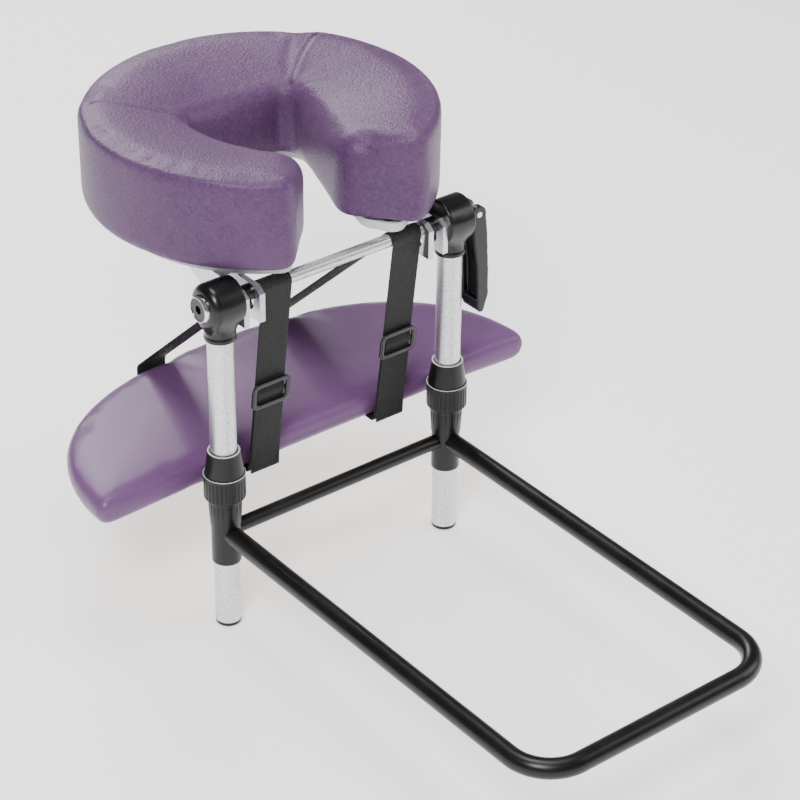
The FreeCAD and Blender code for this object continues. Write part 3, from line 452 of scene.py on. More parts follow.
def moulded_plastic(name, tone_hex, wear_hex, roughness, texture, depth, coat=0.0):
    """Moulded plastic or powder coat: a fine even skin, a little paler where handled.

    texture is the size of the skin's grain and depth its relief, in metres.
    """
    material, tree, shader = surface(name, IOR=1.42, Coat_Weight=coat, Coat_Roughness=0.12)
    where = (add(tree, "ShaderNodeTexCoord"), "Object")
    skin = add(tree, "ShaderNodeTexNoise", {"Vector": where, "Scale": 1 / texture,
                                            "Detail": 3.0, "Roughness": 0.6})
    # Handled patches, about 30 mm across.
    handled = add(tree, "ShaderNodeTexNoise", {"Vector": where, "Scale": 35.0, "Detail": 5.0})
    wear = add(tree, "ShaderNodeMapRange", {"Value": (handled, "Fac"), "From Min": 0.5,
                                            "From Max": 0.85, "To Max": 0.6})
    tone = add(tree, "ShaderNodeMix", {"Factor": (wear, "Result"), MIX_FROM: tint(tone_hex),
                                       MIX_TO: tint(wear_hex)}, data_type="RGBA")
    rough = add(tree, "ShaderNodeMapRange", {"Value": (handled, "Fac"), "From Min": 0.3,
                                             "From Max": 0.7, "To Min": roughness - 0.05,
                                             "To Max": roughness + 0.07})
    relief = add(tree, "ShaderNodeBump", {"Height": (skin, "Fac"), "Strength": 0.4,
                                          "Distance": depth})
    drive(tree, shader, Base_Color=(tone, MIX_OUT), Roughness=(rough, "Result"),
          Normal=(relief, "Normal"))
    return material


def plain_steel(name, tone_hex, roughness, stretch):
    """Plated steel with fine tool marks; stretch draws them out one way."""
    material, tree, shader = surface(name, Metallic=1.0)
    where = add(tree, "ShaderNodeMapping", {"Vector": (add(tree, "ShaderNodeTexCoord"), "Object"),
                                            "Scale": stretch})
    # Marks about 1 mm apart, which is as fine as still shows.
    marks = add(tree, "ShaderNodeTexNoise", {"Vector": (where, "Vector"), "Scale": 900.0,
                                             "Detail": 2.0})
    tone = add(tree, "ShaderNodeMix", {"Factor": (marks, "Fac"), MIX_FROM: tint(tone_hex),
                                       MIX_TO: tint("#e6e6ea")}, data_type="RGBA")
    rough = add(tree, "ShaderNodeMapRange", {"Value": (marks, "Fac"), "To Min": roughness - 0.04,
                                             "To Max": roughness + 0.08})
    relief = add(tree, "ShaderNodeBump", {"Height": (marks, "Fac"), "Strength": 0.2,
                                          "Distance": 0.02 * MM})
    drive(tree, shader, Base_Color=(tone, MIX_OUT), Roughness=(rough, "Result"),
          Normal=(relief, "Normal"))
    return material


def woven_webbing(name, tone_hex, thread_hex, pitch):
    """Black polypropylene webbing: twill ribs slanting across, following the strap.

    Height = slanted ribs x lengthwise cords + fuzz.  The strap's UV map is in metres,
    across then along; pitch is the rib spacing.
    """
    material, tree, shader = surface(name, Roughness=0.55, IOR=1.4, Sheen_Weight=0.04,
                                     Sheen_Roughness=0.4)
    strap = (add(tree, "ShaderNodeUVMap", uv_map="UVMap"), "UV")
    lean = add(tree, "ShaderNodeMapping", {"Vector": strap,
                                           "Rotation": (0.0, 0.0, math.radians(28))})
    # A band texture repeats every 0.31 / scale, so this gives one rib each pitch.
    bands = 1 / (pitch * 3.2)
    ribs = add(tree, "ShaderNodeTexWave", {"Vector": (lean, "Vector"), "Scale": bands,
                                           "Distortion": 0.6, "Detail": 1.0},
               wave_type="BANDS", bands_direction="Y")
    cords = add(tree, "ShaderNodeTexWave", {"Vector": strap, "Scale": bands,
                                            "Distortion": 0.3},
                wave_type="BANDS", bands_direction="X")
    where = (add(tree, "ShaderNodeTexCoord"), "Object")
    fuzz = add(tree, "ShaderNodeTexNoise", {"Vector": where, "Scale": 1600.0, "Detail": 2.0})
    both = add(tree, "ShaderNodeMath", {0: (ribs, "Fac"), 1: (cords, "Fac")},
               operation="MULTIPLY")
    height = add(tree, "ShaderNodeMath", {0: (both, "Value"), 1: (fuzz, "Fac")},
                 operation="ADD")
    tone = add(tree, "ShaderNodeMix", {"Factor": (both, "Value"), MIX_FROM: tint(tone_hex),
                                       MIX_TO: tint(thread_hex)}, data_type="RGBA")
    relief = add(tree, "ShaderNodeBump", {"Height": (height, "Value"), "Strength": 1.0,
                                          "Distance": 0.6 * MM})
    drive(tree, shader, Base_Color=(tone, MIX_OUT), Normal=(relief, "Normal"))
    return material


def plywood(name):
    """Birch plywood: long soft grain and thin darker lines."""
    material, tree, shader = surface(name, Roughness=0.6, IOR=1.5)
    where = add(tree, "ShaderNodeMapping", {"Vector": (add(tree, "ShaderNodeTexCoord"), "Object"),
                                            "Scale": (0.08, 1.0, 1.0)})
    # Grain lines about 4 mm apart.
    grain = add(tree, "ShaderNodeTexNoise", {"Vector": (where, "Vector"), "Scale": 260.0,
                                             "Detail": 6.0, "Distortion": 0.6})
    tone = add(tree, "ShaderNodeMix", {"Factor": (grain, "Fac"), MIX_FROM: tint("#b98f5e"),
                                       MIX_TO: tint("#e0c193")}, data_type="RGBA")
    relief = add(tree, "ShaderNodeBump", {"Height": (grain, "Fac"), "Strength": 0.3,
                                          "Distance": 0.1 * MM})
    drive(tree, shader, Base_Color=(tone, MIX_OUT), Normal=(relief, "Normal"))
    return material


# Cushion cover: pebbled polyurethane leather, whose grain breaks up a soft sheen.
CUSHION_SKIN = leatherette("embossed_leatherette", "#5a3c62", "#492e52", "#634569",
                           2.4 * MM, 0.38 * MM, 0.44)
# Shelf cover: nearly smooth vinyl, which shines in long soft streaks.
SHELF_SKIN = leatherette("satin_vinyl", "#6a4872", "#62406b", "#704e78",
                         1.1 * MM, 0.05 * MM, 0.34)
# Posts and crossbar: bead-blasted tube, bright and grainy.  Real grit is about 0.1 mm,
# and it is drawn coarser so that it shows.
POST_METAL = blasted_aluminium("anodised_tube", "#f2f2f2", "#b4b5b8", 1.1 * MM, 0.34)
# Brackets: milled and blasted, smoother to the eye than the tube.
BRACKET_METAL = blasted_aluminium("milled_aluminium", "#dcdde0", "#c2c3c7", 2.5 * MM, 0.3)
# Frame and sleeves: baked powder, black with a soft highlight.
POWDER_COAT = moulded_plastic("black_powder_coat", "#070708", "#101011", 0.33,
                              0.9 * MM, 0.05 * MM)
# Heads and lever: moulded nylon, black under a thin gloss.
HEAD_PLASTIC = moulded_plastic("moulded_nylon", "#060607", "#0e0e0f", 0.3,
                               0.7 * MM, 0.03 * MM, 0.15)
# Collars, nuts and plugs: moulded ABS, black and satin.
COLLAR_PLASTIC = moulded_plastic("ribbed_abs", "#070708", "#111112", 0.34,
                                 0.7 * MM, 0.03 * MM)
# Rims of the nuts: painted highlights, pale plastic rings laid along the nuts' edges where they
# catch the light, seen as thin bright lines.
PAINTED_HIGHLIGHT_RIM = moulded_plastic("painted_highlight_rim", "#c9c9cb", "#e2e2e3", 0.25, 0.8 * MM, 0.01 * MM)
# Buckles: moulded acetal, the glossiest black.
BUCKLE_PLASTIC = moulded_plastic("acetal_buckle", "#040405", "#0c0c0d", 0.26,
                                 0.6 * MM, 0.02 * MM, 0.2)
# Platform: moulded polyethylene, pale grey and dull.
PLATE_PLASTIC = moulded_plastic("grey_hdpe", "#cfd0d4", "#dcdde0", 0.5, 1.2 * MM, 0.04 * MM)
# Collets: unpainted nylon, cream and dull.
COLLET_NYLON = moulded_plastic("natural_nylon", "#d9d5c8", "#e6e2d6", 0.5, 1.0 * MM, 0.03 * MM)
# Tapes: woven hooks and loops, matt and dark.
TAPE_CLOTH = moulded_plastic("hook_and_loop", "#151515", "#262626", 0.85, 0.8 * MM, 0.5 * MM)
# Tie rod, washer and screws: zinc plate, grey with turned marks.
PLATED_STEEL = plain_steel("zinc_plated_steel", "#b9bbc0", 0.28, (1.0, 0.2, 0.2))
# Ring of the rod nut and lever pin: chrome, nearly a mirror.
BRIGHT_CHROME = plain_steel("chrome_plate", "#d8d9dd", 0.12, (0.3, 1.0, 1.0))
# Straps: twill, black with grey threads on its ribs.  The ribs are drawn a little
# coarser than they are woven, so that they show.
WEBBING = woven_webbing("twill_webbing", "#020202", "#161617", 2.3 * MM)
# Stitches: spun polyester, a little paler than the webbing.
THREAD = moulded_plastic("black_thread", "#1a1a1b", "#343435", 0.6, 0.5 * MM, 0.2 * MM)
# Board in the shelf: birch plywood, straw-coloured with long grain.
PLYWOOD = plywood("birch_plywood")

NODE_LOOKS = {
    POWDER_COAT: ("u_frame", "back_bar", "left_sleeve", "right_sleeve"),
    POST_METAL: ("left_post", "right_post", "crossbar"),
    BRACKET_METAL: ("left_tilt_bracket", "right_tilt_bracket"),
    COLLAR_PLASTIC: ("left_collar_body", "right_collar_body", "left_lock_nut",
                     "right_lock_nut", "left_foot_plug", "right_foot_plug"),
    HEAD_PLASTIC: ("left_head", "right_head", "cam_lever", "left_pivot_bush",
                   "right_pivot_bush", "rod_nut"),
    COLLET_NYLON: ("left_collet", "right_collet"),
    PLATED_STEEL: ("tie_rod", "cam_washer", "platform_screws"),
    BRIGHT_CHROME: ("rod_nut_ring", "lever_pin"),
    PLATE_PLASTIC: ("platform",),
    TAPE_CLOTH: ("hook_tape", "loop_tape"),
    PLYWOOD: ("shelf_board",),
    WEBBING: ("left_strap", "right_strap"),
    BUCKLE_PLASTIC: ("left_tri_glide", "right_tri_glide"),
    CUSHION_SKIN: ("face_cushion",),
    SHELF_SKIN: ("shelf_pad",),
}
for look, names in NODE_LOOKS.items():
    for name in names:
        slots = NODES[name].material_slots
        for slot in slots:
            slot.material = look
        if not slots:
            NODES[name].data.materials.append(look)


# ------------------------------------------------------------------ face cushion

ARC_POINTS = 14                   # points on each rounded corner
MIRROR = np.array([-1.0, 1.0])
OUTLINE_STEP = 3 * MM
LOBE_ROUND = 15 * MM              # rounds of the opening, from its mouth inwards
THROAT_ROUND = 25 * MM
BACK_ROUND = 14 * MM
LOBE_RUN = 40 * MM                # straight run that leads into a lobe's tip
LOBE_TRIM = 10.5 * MM             # of the outer circle, left out at each tip
BOWL_R = 45 * MM                  # the crown falls from the rim to this radius
CROWN_FALL = 25 * MM
CROWN_GAP = 1.5 * MM              # between the rim and the drawn solid's top
SKIN_INSET = 2 * MM               # room for the swelling of the cushion
LOW_ROUND = 11 * MM               # rounds of the wall's foot and of its top edge
TOP_ROUND = 22 * MM
FLOOR_GAP = 0.4 * MM
SEAM_DEPTH = 1.5 * MM
SEAM_WIDTH = 1.3 * MM
SEAM_DROP = 75 * MM               # how far a radial seam runs down the opening


def corner_arc(before, corner, after, radius):
    """The points of a round that joins two straight runs at a corner."""
    before, corner, after = (np.asarray(p, float) for p in (before, corner, after))
    way_in = (corner - before) / np.linalg.norm(corner - before)
    way_out = (after - corner) / np.linalg.norm(after - corner)
    turn = math.acos(np.clip(way_in @ way_out, -1, 1))
    reach = radius * math.tan(turn / 2)
    start = corner - way_in * reach
    stop = corner + way_out * reach
    t = np.linspace(0, 1, ARC_POINTS)[:, None]
    inward = way_out - way_in
    inward /= np.linalg.norm(inward)
    middle = corner + inward * radius / math.cos(turn / 2)
    first = start - middle
    last = stop - middle
    arc = (np.sin((1 - t) * turn) * first + np.sin(t * turn) * last) / math.sin(turn)
    return middle + arc


def horseshoe_outline(inset):
    """The plan of the cushion: a big circle, two lobes and the tapered opening.

    It runs clockwise seen from above: right lobe, opening, left lobe, outer circle.
    Then each point moves inwards by inset, square to the outline.
    """
    tip_y = CENTRE_Y - math.sqrt(CUSHION_R ** 2 - LOBE_HALF ** 2)
    tip = np.array([LOBE_HALF, tip_y])
    throat = np.array(THROAT)
    back = np.array([OPENING_HALF, OPENING_BACK])
    tangent = np.array([CENTRE_Y - tip_y, LOBE_HALF])
    before = tip + tangent / np.linalg.norm(tangent) * LOBE_RUN
    right = np.vstack([corner_arc(before, tip, throat, LOBE_ROUND),
                       corner_arc(tip, throat, back, THROAT_ROUND),
                       corner_arc(throat, back, back * MIRROR, BACK_ROUND)])
    left = (right * MIRROR)[::-1]
    spread = math.atan2(tip_y - CENTRE_Y, LOBE_HALF)
    trim = LOBE_TRIM / CUSHION_R
    angle = np.linspace(math.pi - spread - trim, spread + trim, 260)
    outer = np.stack([CUSHION_R * np.cos(angle), CENTRE_Y + CUSHION_R * np.sin(angle)], -1)
    path = resample(np.vstack([right, left, outer]), OUTLINE_STEP, closed=True)
    ahead = np.roll(path, -1, 0) - np.roll(path, 1, 0)
    ahead /= np.linalg.norm(ahead, axis=1, keepdims=True)
    return path + inset * np.stack([ahead[:, 1], -ahead[:, 0]], -1)


def spine_point(plan):
    """For each plan point, the nearest place on the horseshoe's middle line."""
    angle = np.arctan2(plan[:, 1] - CENTRE_Y, plan[:, 0])
    angle = np.where(angle < -math.pi / 2, angle + 2 * math.pi, angle)
    angle = np.clip(angle, SPINE_END, math.pi - SPINE_END)
    return np.stack([SPINE_R * np.cos(angle), CENTRE_Y + SPINE_R * np.sin(angle)], -1)


def lobe_share(plan):
    """1 in the side lobes, 0 in the back part between the two radial seams."""
    angle = np.degrees(np.arctan2(plan[:, 1] - CENTRE_Y, np.abs(plan[:, 0])))
    return 1 - smoothstep(28.0, 44.0, angle)


def top_height(plan):
    """The crowned top: high at the outer edge and falling towards the opening.

    height = rim - fall * (1 - r') ^ 1.5, with r' from 0 at the opening to 1 outside.
    """
    reach = np.hypot(plan[:, 0], plan[:, 1] - CENTRE_Y)
    share = np.clip((reach - BOWL_R) / (CUSHION_R - BOWL_R), 0, 1)
    rim = CUSHION_HIGH.z - CUSHION_LOW.z - CROWN_GAP
    return rim - CROWN_FALL * (1 - share) ** 1.5


def edge_round(plan):
    """The round of the top edge: wide inside, tighter outside and tightest on the
    outside of the lobes behind their tips.
    """
    reach = np.hypot(plan[:, 0], plan[:, 1] - CENTRE_Y)
    outer = smoothstep(120 * MM, 160 * MM, reach)
    front = 1 - smoothstep(-20 * MM, 15 * MM, plan[:, 1])
    crisp = outer * lobe_share(plan) * (1 - 0.6 * front)
    return TOP_ROUND - outer * 9 * MM - crisp * 8 * MM - (1 - outer) * front * 3 * MM


def cushion_surface():
    """The closed skin of the horseshoe: for each plan point, a section from the
    middle of the underside, out and up the wall, and over the top to the middle.
    """
    plan = horseshoe_outline(SKIN_INSET)
    spine = spine_point(plan)
    width = np.linalg.norm(spine - plan, axis=1)
    inward = (spine - plan) / width[:, None]
    level = np.ones(len(plan))
    top_r = edge_round(plan)
    bend = np.linspace(0, math.pi / 2, 9)
    foot = FLOOR_GAP + LOW_ROUND
    edge_top = top_height(plan + inward * top_r[:, None])
    rows = []
    for share in np.linspace(1, 0, 14)[:-1]:
        rows.append((LOW_ROUND + (width - LOW_ROUND) * share, FLOOR_GAP * level))
    for angle in bend:
        rows.append((LOW_ROUND * (1 - np.sin(angle)) * level,
                     (FLOOR_GAP + LOW_ROUND * (1 - np.cos(angle))) * level))
    for share in np.linspace(0, 1, 12)[1:-1]:
        rows.append((0 * level, foot + (edge_top - top_r - foot) * share))
    for angle in bend:
        rows.append((top_r * (1 - np.cos(angle)), edge_top - top_r * (1 - np.sin(angle))))
    for share in np.linspace(0, 1, 14)[1:]:
        depth = top_r + (width - top_r) * share
        rows.append((depth, top_height(plan + inward * depth[:, None])))
    points = [np.column_stack([plan + inward * depth[:, None], CUSHION_LOW.z + height])
              for depth, height in rows]
    return mesh_piece("face_cushion_skin", np.concatenate(points),
                      grid_faces(len(rows), len(plan), close_columns=True))


def on_top(plan, lift=0.0):
    """Plan points lifted on to the cushion's top."""
    return np.column_stack([plan, CUSHION_LOW.z + top_height(plan) + lift])


def cushion_seams():
    """The seam lines, each with how much its far end fades: two radial seams, which
    go on down the wall of the opening, and two along the outer edge of the lobes.
    """
    seams = []
    for _, side in SIDES:
        inner = np.array([side * (OPENING_HALF - 2 * MM), OPENING_BACK - 3 * MM])
        outer = np.array([side * 0.82, 0.535]) * CUSHION_R + np.array([0.0, CENTRE_Y])
        share = np.linspace(0, 1, 26)[:, None]
        bow = np.sin(share * math.pi) * np.array([[side * 2 * MM, 6 * MM]])
        across = on_top(inner + (outer - inner) * share + bow, 1 * MM)
        drop = np.linspace(1, 0, 14)[:, None] * np.array([0, 0, -SEAM_DROP])
        wall = across[0] + drop
        wall[:, :2] += np.array([side * 3 * MM, 4 * MM])
        seams.append((np.vstack([wall, across]), 0.0))
        angle = np.linspace(math.radians(41), math.radians(-47), 50)
        radius = CUSHION_R - 5 * MM
        rim = np.column_stack([side * radius * np.cos(angle), CENTRE_Y + radius * np.sin(angle)])
        seams.append((on_top(rim), 1.0))
    return seams


def sew_cushion(piece):
    """Sinks the seams: height = -depth * exp(-(d/w)^2), with a soft swelling beside."""
    points = get_points(piece.data)
    normals = get_normals(piece.data)
    seam = np.zeros(len(points))
    push = np.zeros(len(points))
    for curve, fade in cushion_seams():
        gap, place = distance_to(points, curve)
        total = np.linalg.norm(np.diff(curve, axis=0), axis=1).sum()
        ends = smoothstep(0, 6 * MM, place) * (1 - fade * smoothstep(total - 60 * MM, total, place))
        groove = np.exp(-(gap / SEAM_WIDTH) ** 2)
        swell = np.exp(-((gap - 4 * MM) / (2.6 * MM)) ** 2)
        push += ends * (0.35 * MM * swell - SEAM_DEPTH * groove)
        seam = np.maximum(seam, ends * np.exp(-(gap / (1.0 * MM)) ** 2))
    points += normals * push[:, None]
    points[:, 2] = np.maximum(points[:, 2], CUSHION_LOW.z + BASE_GAP)
    set_points(piece.data, points)
    add_attribute(piece, "seam", np.clip(seam * 0.9, 0, 1))


def make_cushion():
    """The stuffed face cushion, from its drawn shape to a puffed and sewn cover."""
    piece = tidy(cushion_surface())
    remesh(piece, 3.2 * MM, 6)
    inflate(piece, 3 * MM)
    subdivide(piece)
    sew_cushion(piece)
    finish_piece(piece, CUSHION_SKIN, "cushion", ("face_cushion",))


# ------------------------------------------------------------------ arm shelf

CORNER_ROUND = 9 * MM             # the shelf's front corners, seen from above
SHELF_STEP = 3.5 * MM
SHELF_INSET = 1.2 * MM            # room for the swelling of the shelf
SHELF_FLOOR = 0.6 * MM
SHELF_CROWN = 1.2 * MM
TOP_ROLL = 11 * MM                # round of the foam at the top edge
MIDDLE_SHARE = 0.55               # the middle line, as a share of the half width
MIDDLE_BACK = 88 * MM             # and its distance behind the front edge
TUCK = 0.6                        # reach of the underside's round, a share of its height


def shelf_plan(inset):
    """The D outline with rounded front corners, anticlockwise from above.

    x = a * sgn(cos t) |cos t|^(2/p), y = front + b * sin t ^ (2/p), closed by a line.
    """
    half = SHELF_HIGH.x - inset
    front = SHELF_LOW.y + inset
    t = np.linspace(0.0, math.pi, 600)
    cosine = np.cos(t)
    x = half * np.sign(cosine) * np.abs(cosine) ** (2 / SHELF_POWER)
    y = front + (SHELF_HIGH.y - inset - front) * np.sin(t) ** (2 / SHELF_POWER)
    curve = np.stack([x, y], -1)
    curve = curve[curve[:, 1] > front + CORNER_ROUND]
    first = corner_arc((0.0, front), (half, front), curve[0], CORNER_ROUND)
    loop = np.vstack([first, curve, (first * MIRROR)[::-1]])
    return resample(loop, SHELF_STEP, closed=True)


def shelf_surface():
    """The closed skin of the shelf: each outline point's section runs from the
    middle of the underside round the roll of the edge to the middle of the top.
    """
    plan = shelf_plan(SHELF_INSET)
    back = np.full(len(plan), SHELF_LOW.y + MIDDLE_BACK)
    middle = np.column_stack([plan[:, 0] * MIDDLE_SHARE, back])
    width = np.linalg.norm(middle - plan, axis=1)
    inward = (middle - plan) / width[:, None]
    low = SHELF_LOW.z + SHELF_FLOOR
    high = SHELF_HIGH.z - SHELF_INSET
    under = high - low - TOP_ROLL
    tuck = under * TUCK
    rows = []
    for share in np.linspace(1, 0, 16)[:-1]:
        rows.append((tuck + (width - tuck) * share, low))
    for angle in np.linspace(0, math.pi / 2, 8):
        rows.append((tuck * (1 - math.sin(angle)) + 0 * width,
                     low + under * (1 - math.cos(angle))))
    for angle in np.linspace(0, math.pi / 2, 10)[1:]:
        rows.append((TOP_ROLL * (1 - math.cos(angle)) + 0 * width,
                     high - TOP_ROLL + TOP_ROLL * math.sin(angle)))
    for share in np.linspace(0, 1, 16)[1:]:
        rows.append((TOP_ROLL + (width - TOP_ROLL) * share,
                     high + SHELF_CROWN * math.sin(share * math.pi / 2)))
    points = [np.column_stack([plan + inward * depth[:, None], np.full(len(plan), height)])
              for depth, height in rows]
    return mesh_piece("shelf_pad_skin", np.concatenate(points),
                      grid_faces(len(rows), len(plan), close_columns=True))


def press_shelf(piece):
    """Presses the shelf where the webbing goes round it, and keeps its base flat.

    Depth = strap band x (back edge + front edge) + a valley that runs forwards and
    towards +X from the back of each strap.
    """
    points = get_points(piece.data)
    push = np.zeros(len(points))
    back = STRAP_BACK + 2 * MM
    behind = smoothstep(back - 26 * MM, back, points[:, 1])
    before = 1 - smoothstep(SHELF_LOW.y + 2 * MM, SHELF_LOW.y + 20 * MM, points[:, 1])
    for _, side in SIDES:
        middle = side * STRAP_X
        beside = np.exp(-((points[:, 0] - middle) / (19 * MM)) ** 4)
        crease = np.array([[middle + 10 * MM, back], [middle + 19 * MM, back - 26 * MM],
                           [middle + 34 * MM, back - 74 * MM]])
        gap, place = distance_to(points[:, :2], crease)
        valley = np.exp(-(gap / (11 * MM)) ** 2) * (1 - smoothstep(10 * MM, 78 * MM, place))
        push += beside * (3.2 * MM * behind + 1.0 * MM * before) + 1.3 * MM * valley
    normals = get_normals(piece.data)
    raised = points[:, 2] > SHELF_LOW.z + 6 * MM
    points -= normals * (push * raised)[:, None]
    points[:, 2] = np.maximum(points[:, 2], SHELF_LOW.z + BASE_GAP)
    set_points(piece.data, points)
    add_attribute(piece, "seam", np.zeros(len(points)))


def make_shelf():
    """The padded arm shelf: vinyl over foam on its board."""
    piece = tidy(shelf_surface())
    remesh(piece, 4 * MM, 5)
    inflate(piece, 2.5 * MM)
    subdivide(piece)
    press_shelf(piece)
    finish_piece(piece, SHELF_SKIN, "shelf", ("shelf_pad",))


# ------------------------------------------------------------------ straps and buckles

TURN_POINTS = 24                  # points on each round of a strap
HEM_ROWS = (4.0 * MM, 16.0 * MM)  # the hem's rows of stitches, above its lower end
HEM_EDGES = (-14.4 * MM, 13.9 * MM)
TAIL_START = -9 * MM              # where the loose end leaves the buckle
TAIL_WALL = 1.3 * MM
TAIL_FACE = 0.62 * MM             # from the loose end's middle to its outer face
STITCH_R = 0.3 * MM
BUCKLE_HALF = (19.3 * MM, 12.6 * MM)
BUCKLE_ROUND = 5.2 * MM
BUCKLE_RIM = (2.9 * MM, 5.6 * MM)
BUCKLE_LEVEL = 3.5 * MM           # the frame's middle above the webbing's
BAR_HALF = 19.2 * MM
BAR_SECTION = (1.9 * MM, 4.4 * MM)
BAR_LEVEL = 1.95 * MM
FOLD_HALF = 10.2 * MM             # the webbing's fold over the bar
FOLD_LEVEL = 1.25 * MM
FOLD_RISE = 2.45 * MM
FOLD_WALL = 0.8 * MM


def belt_leans(rounds):
    """The outward direction of each straight run of a belt round a ring of circles.

    lean = atan2(dz, dy) - 90 deg - asin((r2 - r1) / span).
    """
    leans = []
    for (y1, z1, r1), (y2, z2, r2) in zip(rounds, rounds[1:] + rounds[:1]):
        span = math.hypot(y2 - y1, z2 - z1)
        lean = math.atan2(z2 - z1, y2 - y1) - math.pi / 2
        leans.append(lean - math.asin((r2 - r1) / span))
    return leans


def belt_path(x, rounds, grow, step):
    """A belt pulled tight round circles in the YZ plane, starting under the shelf."""
    leans = belt_leans(rounds)
    path = []
    for i in (2, 3, 0, 1):
        y, z, radius = rounds[i]
        turn = (leans[i] - leans[i - 1]) % (2 * math.pi)
        angle = leans[i - 1] + turn * np.linspace(0, 1, TURN_POINTS)
        reach = radius + grow
        path.append(np.column_stack([np.full(TURN_POINTS, x), y + reach * np.cos(angle),
                                     z + reach * np.sin(angle)]))
    return resample(np.vstack(path), step, closed=True)


# The circles that a strap goes round: the crossbar, then the shelf's front edge, its
# back edge below and its back edge above.
STRAP_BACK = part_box("left_strap")[1].y - STRAP_WALL - STRAP_GAP
ROUNDS = [(0.0, BAR_Z, BAR_R + STRAP_GAP),
          (SHELF_LOW.y + SHELF_UNDER, SHELF_LOW.z + SHELF_UNDER, SHELF_UNDER + STRAP_GAP),
          (STRAP_BACK - SHELF_UNDER, SHELF_LOW.z + SHELF_UNDER, SHELF_UNDER + STRAP_GAP),
          (STRAP_BACK - SHELF_ROUND, SHELF_HIGH.z - SHELF_ROUND, SHELF_ROUND + STRAP_GAP)]
LEG_LEAN = belt_leans(ROUNDS)[0]
LEG_OUT = np.array([0.0, math.cos(LEG_LEAN), math.sin(LEG_LEAN)])
LEG_UP = np.array([0.0, math.sin(LEG_LEAN), -math.cos(LEG_LEAN)])
LEG_TOP = np.array([0.0, 0.0, BAR_Z]) + LEG_OUT * (BAR_R + STRAP_GAP + STRAP_WALL / 2)
LEG_ORIGIN = LEG_TOP - LEG_UP * (LEG_TOP[2] - GLIDE_LEVEL) / LEG_UP[2]


def on_leg(side, across, up, out):
    """Places given across, up and out from the buckle's centre on a front leg."""
    across, up, out = np.broadcast_arrays(*(np.asarray(v, float) for v in (across, up, out)))
    start = LEG_ORIGIN + np.array([side * STRAP_X, 0.0, 0.0])
    return (start + across[..., None] * np.array([1.0, 0.0, 0.0])
            + up[..., None] * LEG_UP + out[..., None] * LEG_OUT)


def hem_stitches(side, low, tail_out):
    """The hem's threads: two rows across and a short row down each edge.

    Each one hops out of the webbing as a half sine wave.  tail_out gives the loose
    end's middle, outwards, at a height.
    """
    t = np.linspace(0, 1, 6)
    hop = 0.42 * MM * np.sin(t * math.pi) - 0.12 * MM
    runs = []

    def stitch(across, height):
        out = tail_out(height) + TAIL_FACE + hop
        runs.append(on_leg(side, across, height, out))

    for row in HEM_ROWS:
        for number in range(10):
            stitch((-14.2 + 2.85 * number) * MM + 2.2 * MM * t, low + row)
    for edge in HEM_EDGES:
        for number in range(4):
            stitch(edge, low + (4.4 + 2.9 * number) * MM + 2.3 * MM * t)
    return runs


def make_strap(name, side):
    """The webbing sling, its hemmed loose end and the stitches of the hem.

    The loose end stands off the sling by a gap that grows as the cube of the way
    down it, with a slight wave.
    """
    band = rounded_bar(STRAP_WIDTH, STRAP_WALL, 7.0, 40)
    path = belt_path(side * STRAP_X, ROUNDS, STRAP_WALL / 2, 0.9 * MM)
    sling = sweep(name + "_webbing", path, band, closed=True)
    finish_piece(sling, WEBBING, "shelf", (name + "_strap",))
    share = np.linspace(0, 1, 90)
    low = -(GLIDE_LEVEL - SHELF_LOW.z + 0.5 * MM)
    up = TAIL_START + (low - TAIL_START) * share
    lift = 1.45 * MM + 1.6 * MM * share ** 3 + 0.25 * MM * np.sin(share * 7.0)
    tail = sweep(name + "_loose_end", on_leg(side, 0.0, up, lift),
                 rounded_bar(STRAP_WIDTH - 0.6 * MM, TAIL_WALL, 7.0, 40))
    finish_piece(tail, WEBBING, "shelf")
    runs = hem_stitches(side, low, lambda height: np.interp(height, up[::-1], lift[::-1]))
    hem = threads(name + "_hem_stitches", runs, STITCH_R, LEG_OUT)
    finish_piece(hem, THREAD, "shelf")


def make_buckle(name, side):
    """The adjusting buckle: a rounded frame, its middle bar and the fold over it.

    The fold's height is a flat-topped bell over the bar, with the ripple of its ribs.
    """
    body = name + "_buckle"
    wide, tall = BUCKLE_HALF
    corners = [(wide, tall), (-wide, tall), (-wide, -tall), (wide, -tall)]
    loop = [corner_arc(corners[i - 1], corners[i], corners[(i + 1) % 4], BUCKLE_ROUND)
            for i in range(4)]
    plan = resample(np.vstack(loop), 0.8 * MM, closed=True)
    path = on_leg(side, plan[:, 0], plan[:, 1], BUCKLE_LEVEL)
    ring = sweep(name + "_buckle_frame", path, rounded_bar(*BUCKLE_RIM, 3.0, 24),
                 closed=True, up=LEG_OUT)
    finish_piece(ring, BUCKLE_PLASTIC, body, (name + "_tri_glide",))
    reach = np.linspace(-BAR_HALF, BAR_HALF, 24)
    bar = sweep(name + "_buckle_bar", on_leg(side, reach, 0.0, BAR_LEVEL),
                rounded_bar(*BAR_SECTION, 3.0, 20), up=LEG_OUT)
    finish_piece(bar, BUCKLE_PLASTIC, body)
    up = np.linspace(FOLD_HALF, -FOLD_HALF, 60)
    rise = FOLD_RISE * np.exp(-np.abs(up / (4.6 * MM)) ** 3)
    wave = 0.16 * MM * np.cos(up / (2.3 * MM) * 2 * math.pi) * np.exp(-(up / (6 * MM)) ** 4)
    fold = sweep(name + "_buckle_fold", on_leg(side, 0.0, up, FOLD_LEVEL + rise + wave),
                 rounded_bar(STRAP_WIDTH - 3 * MM, FOLD_WALL, 6.0, 40))
    finish_piece(fold, WEBBING, body)
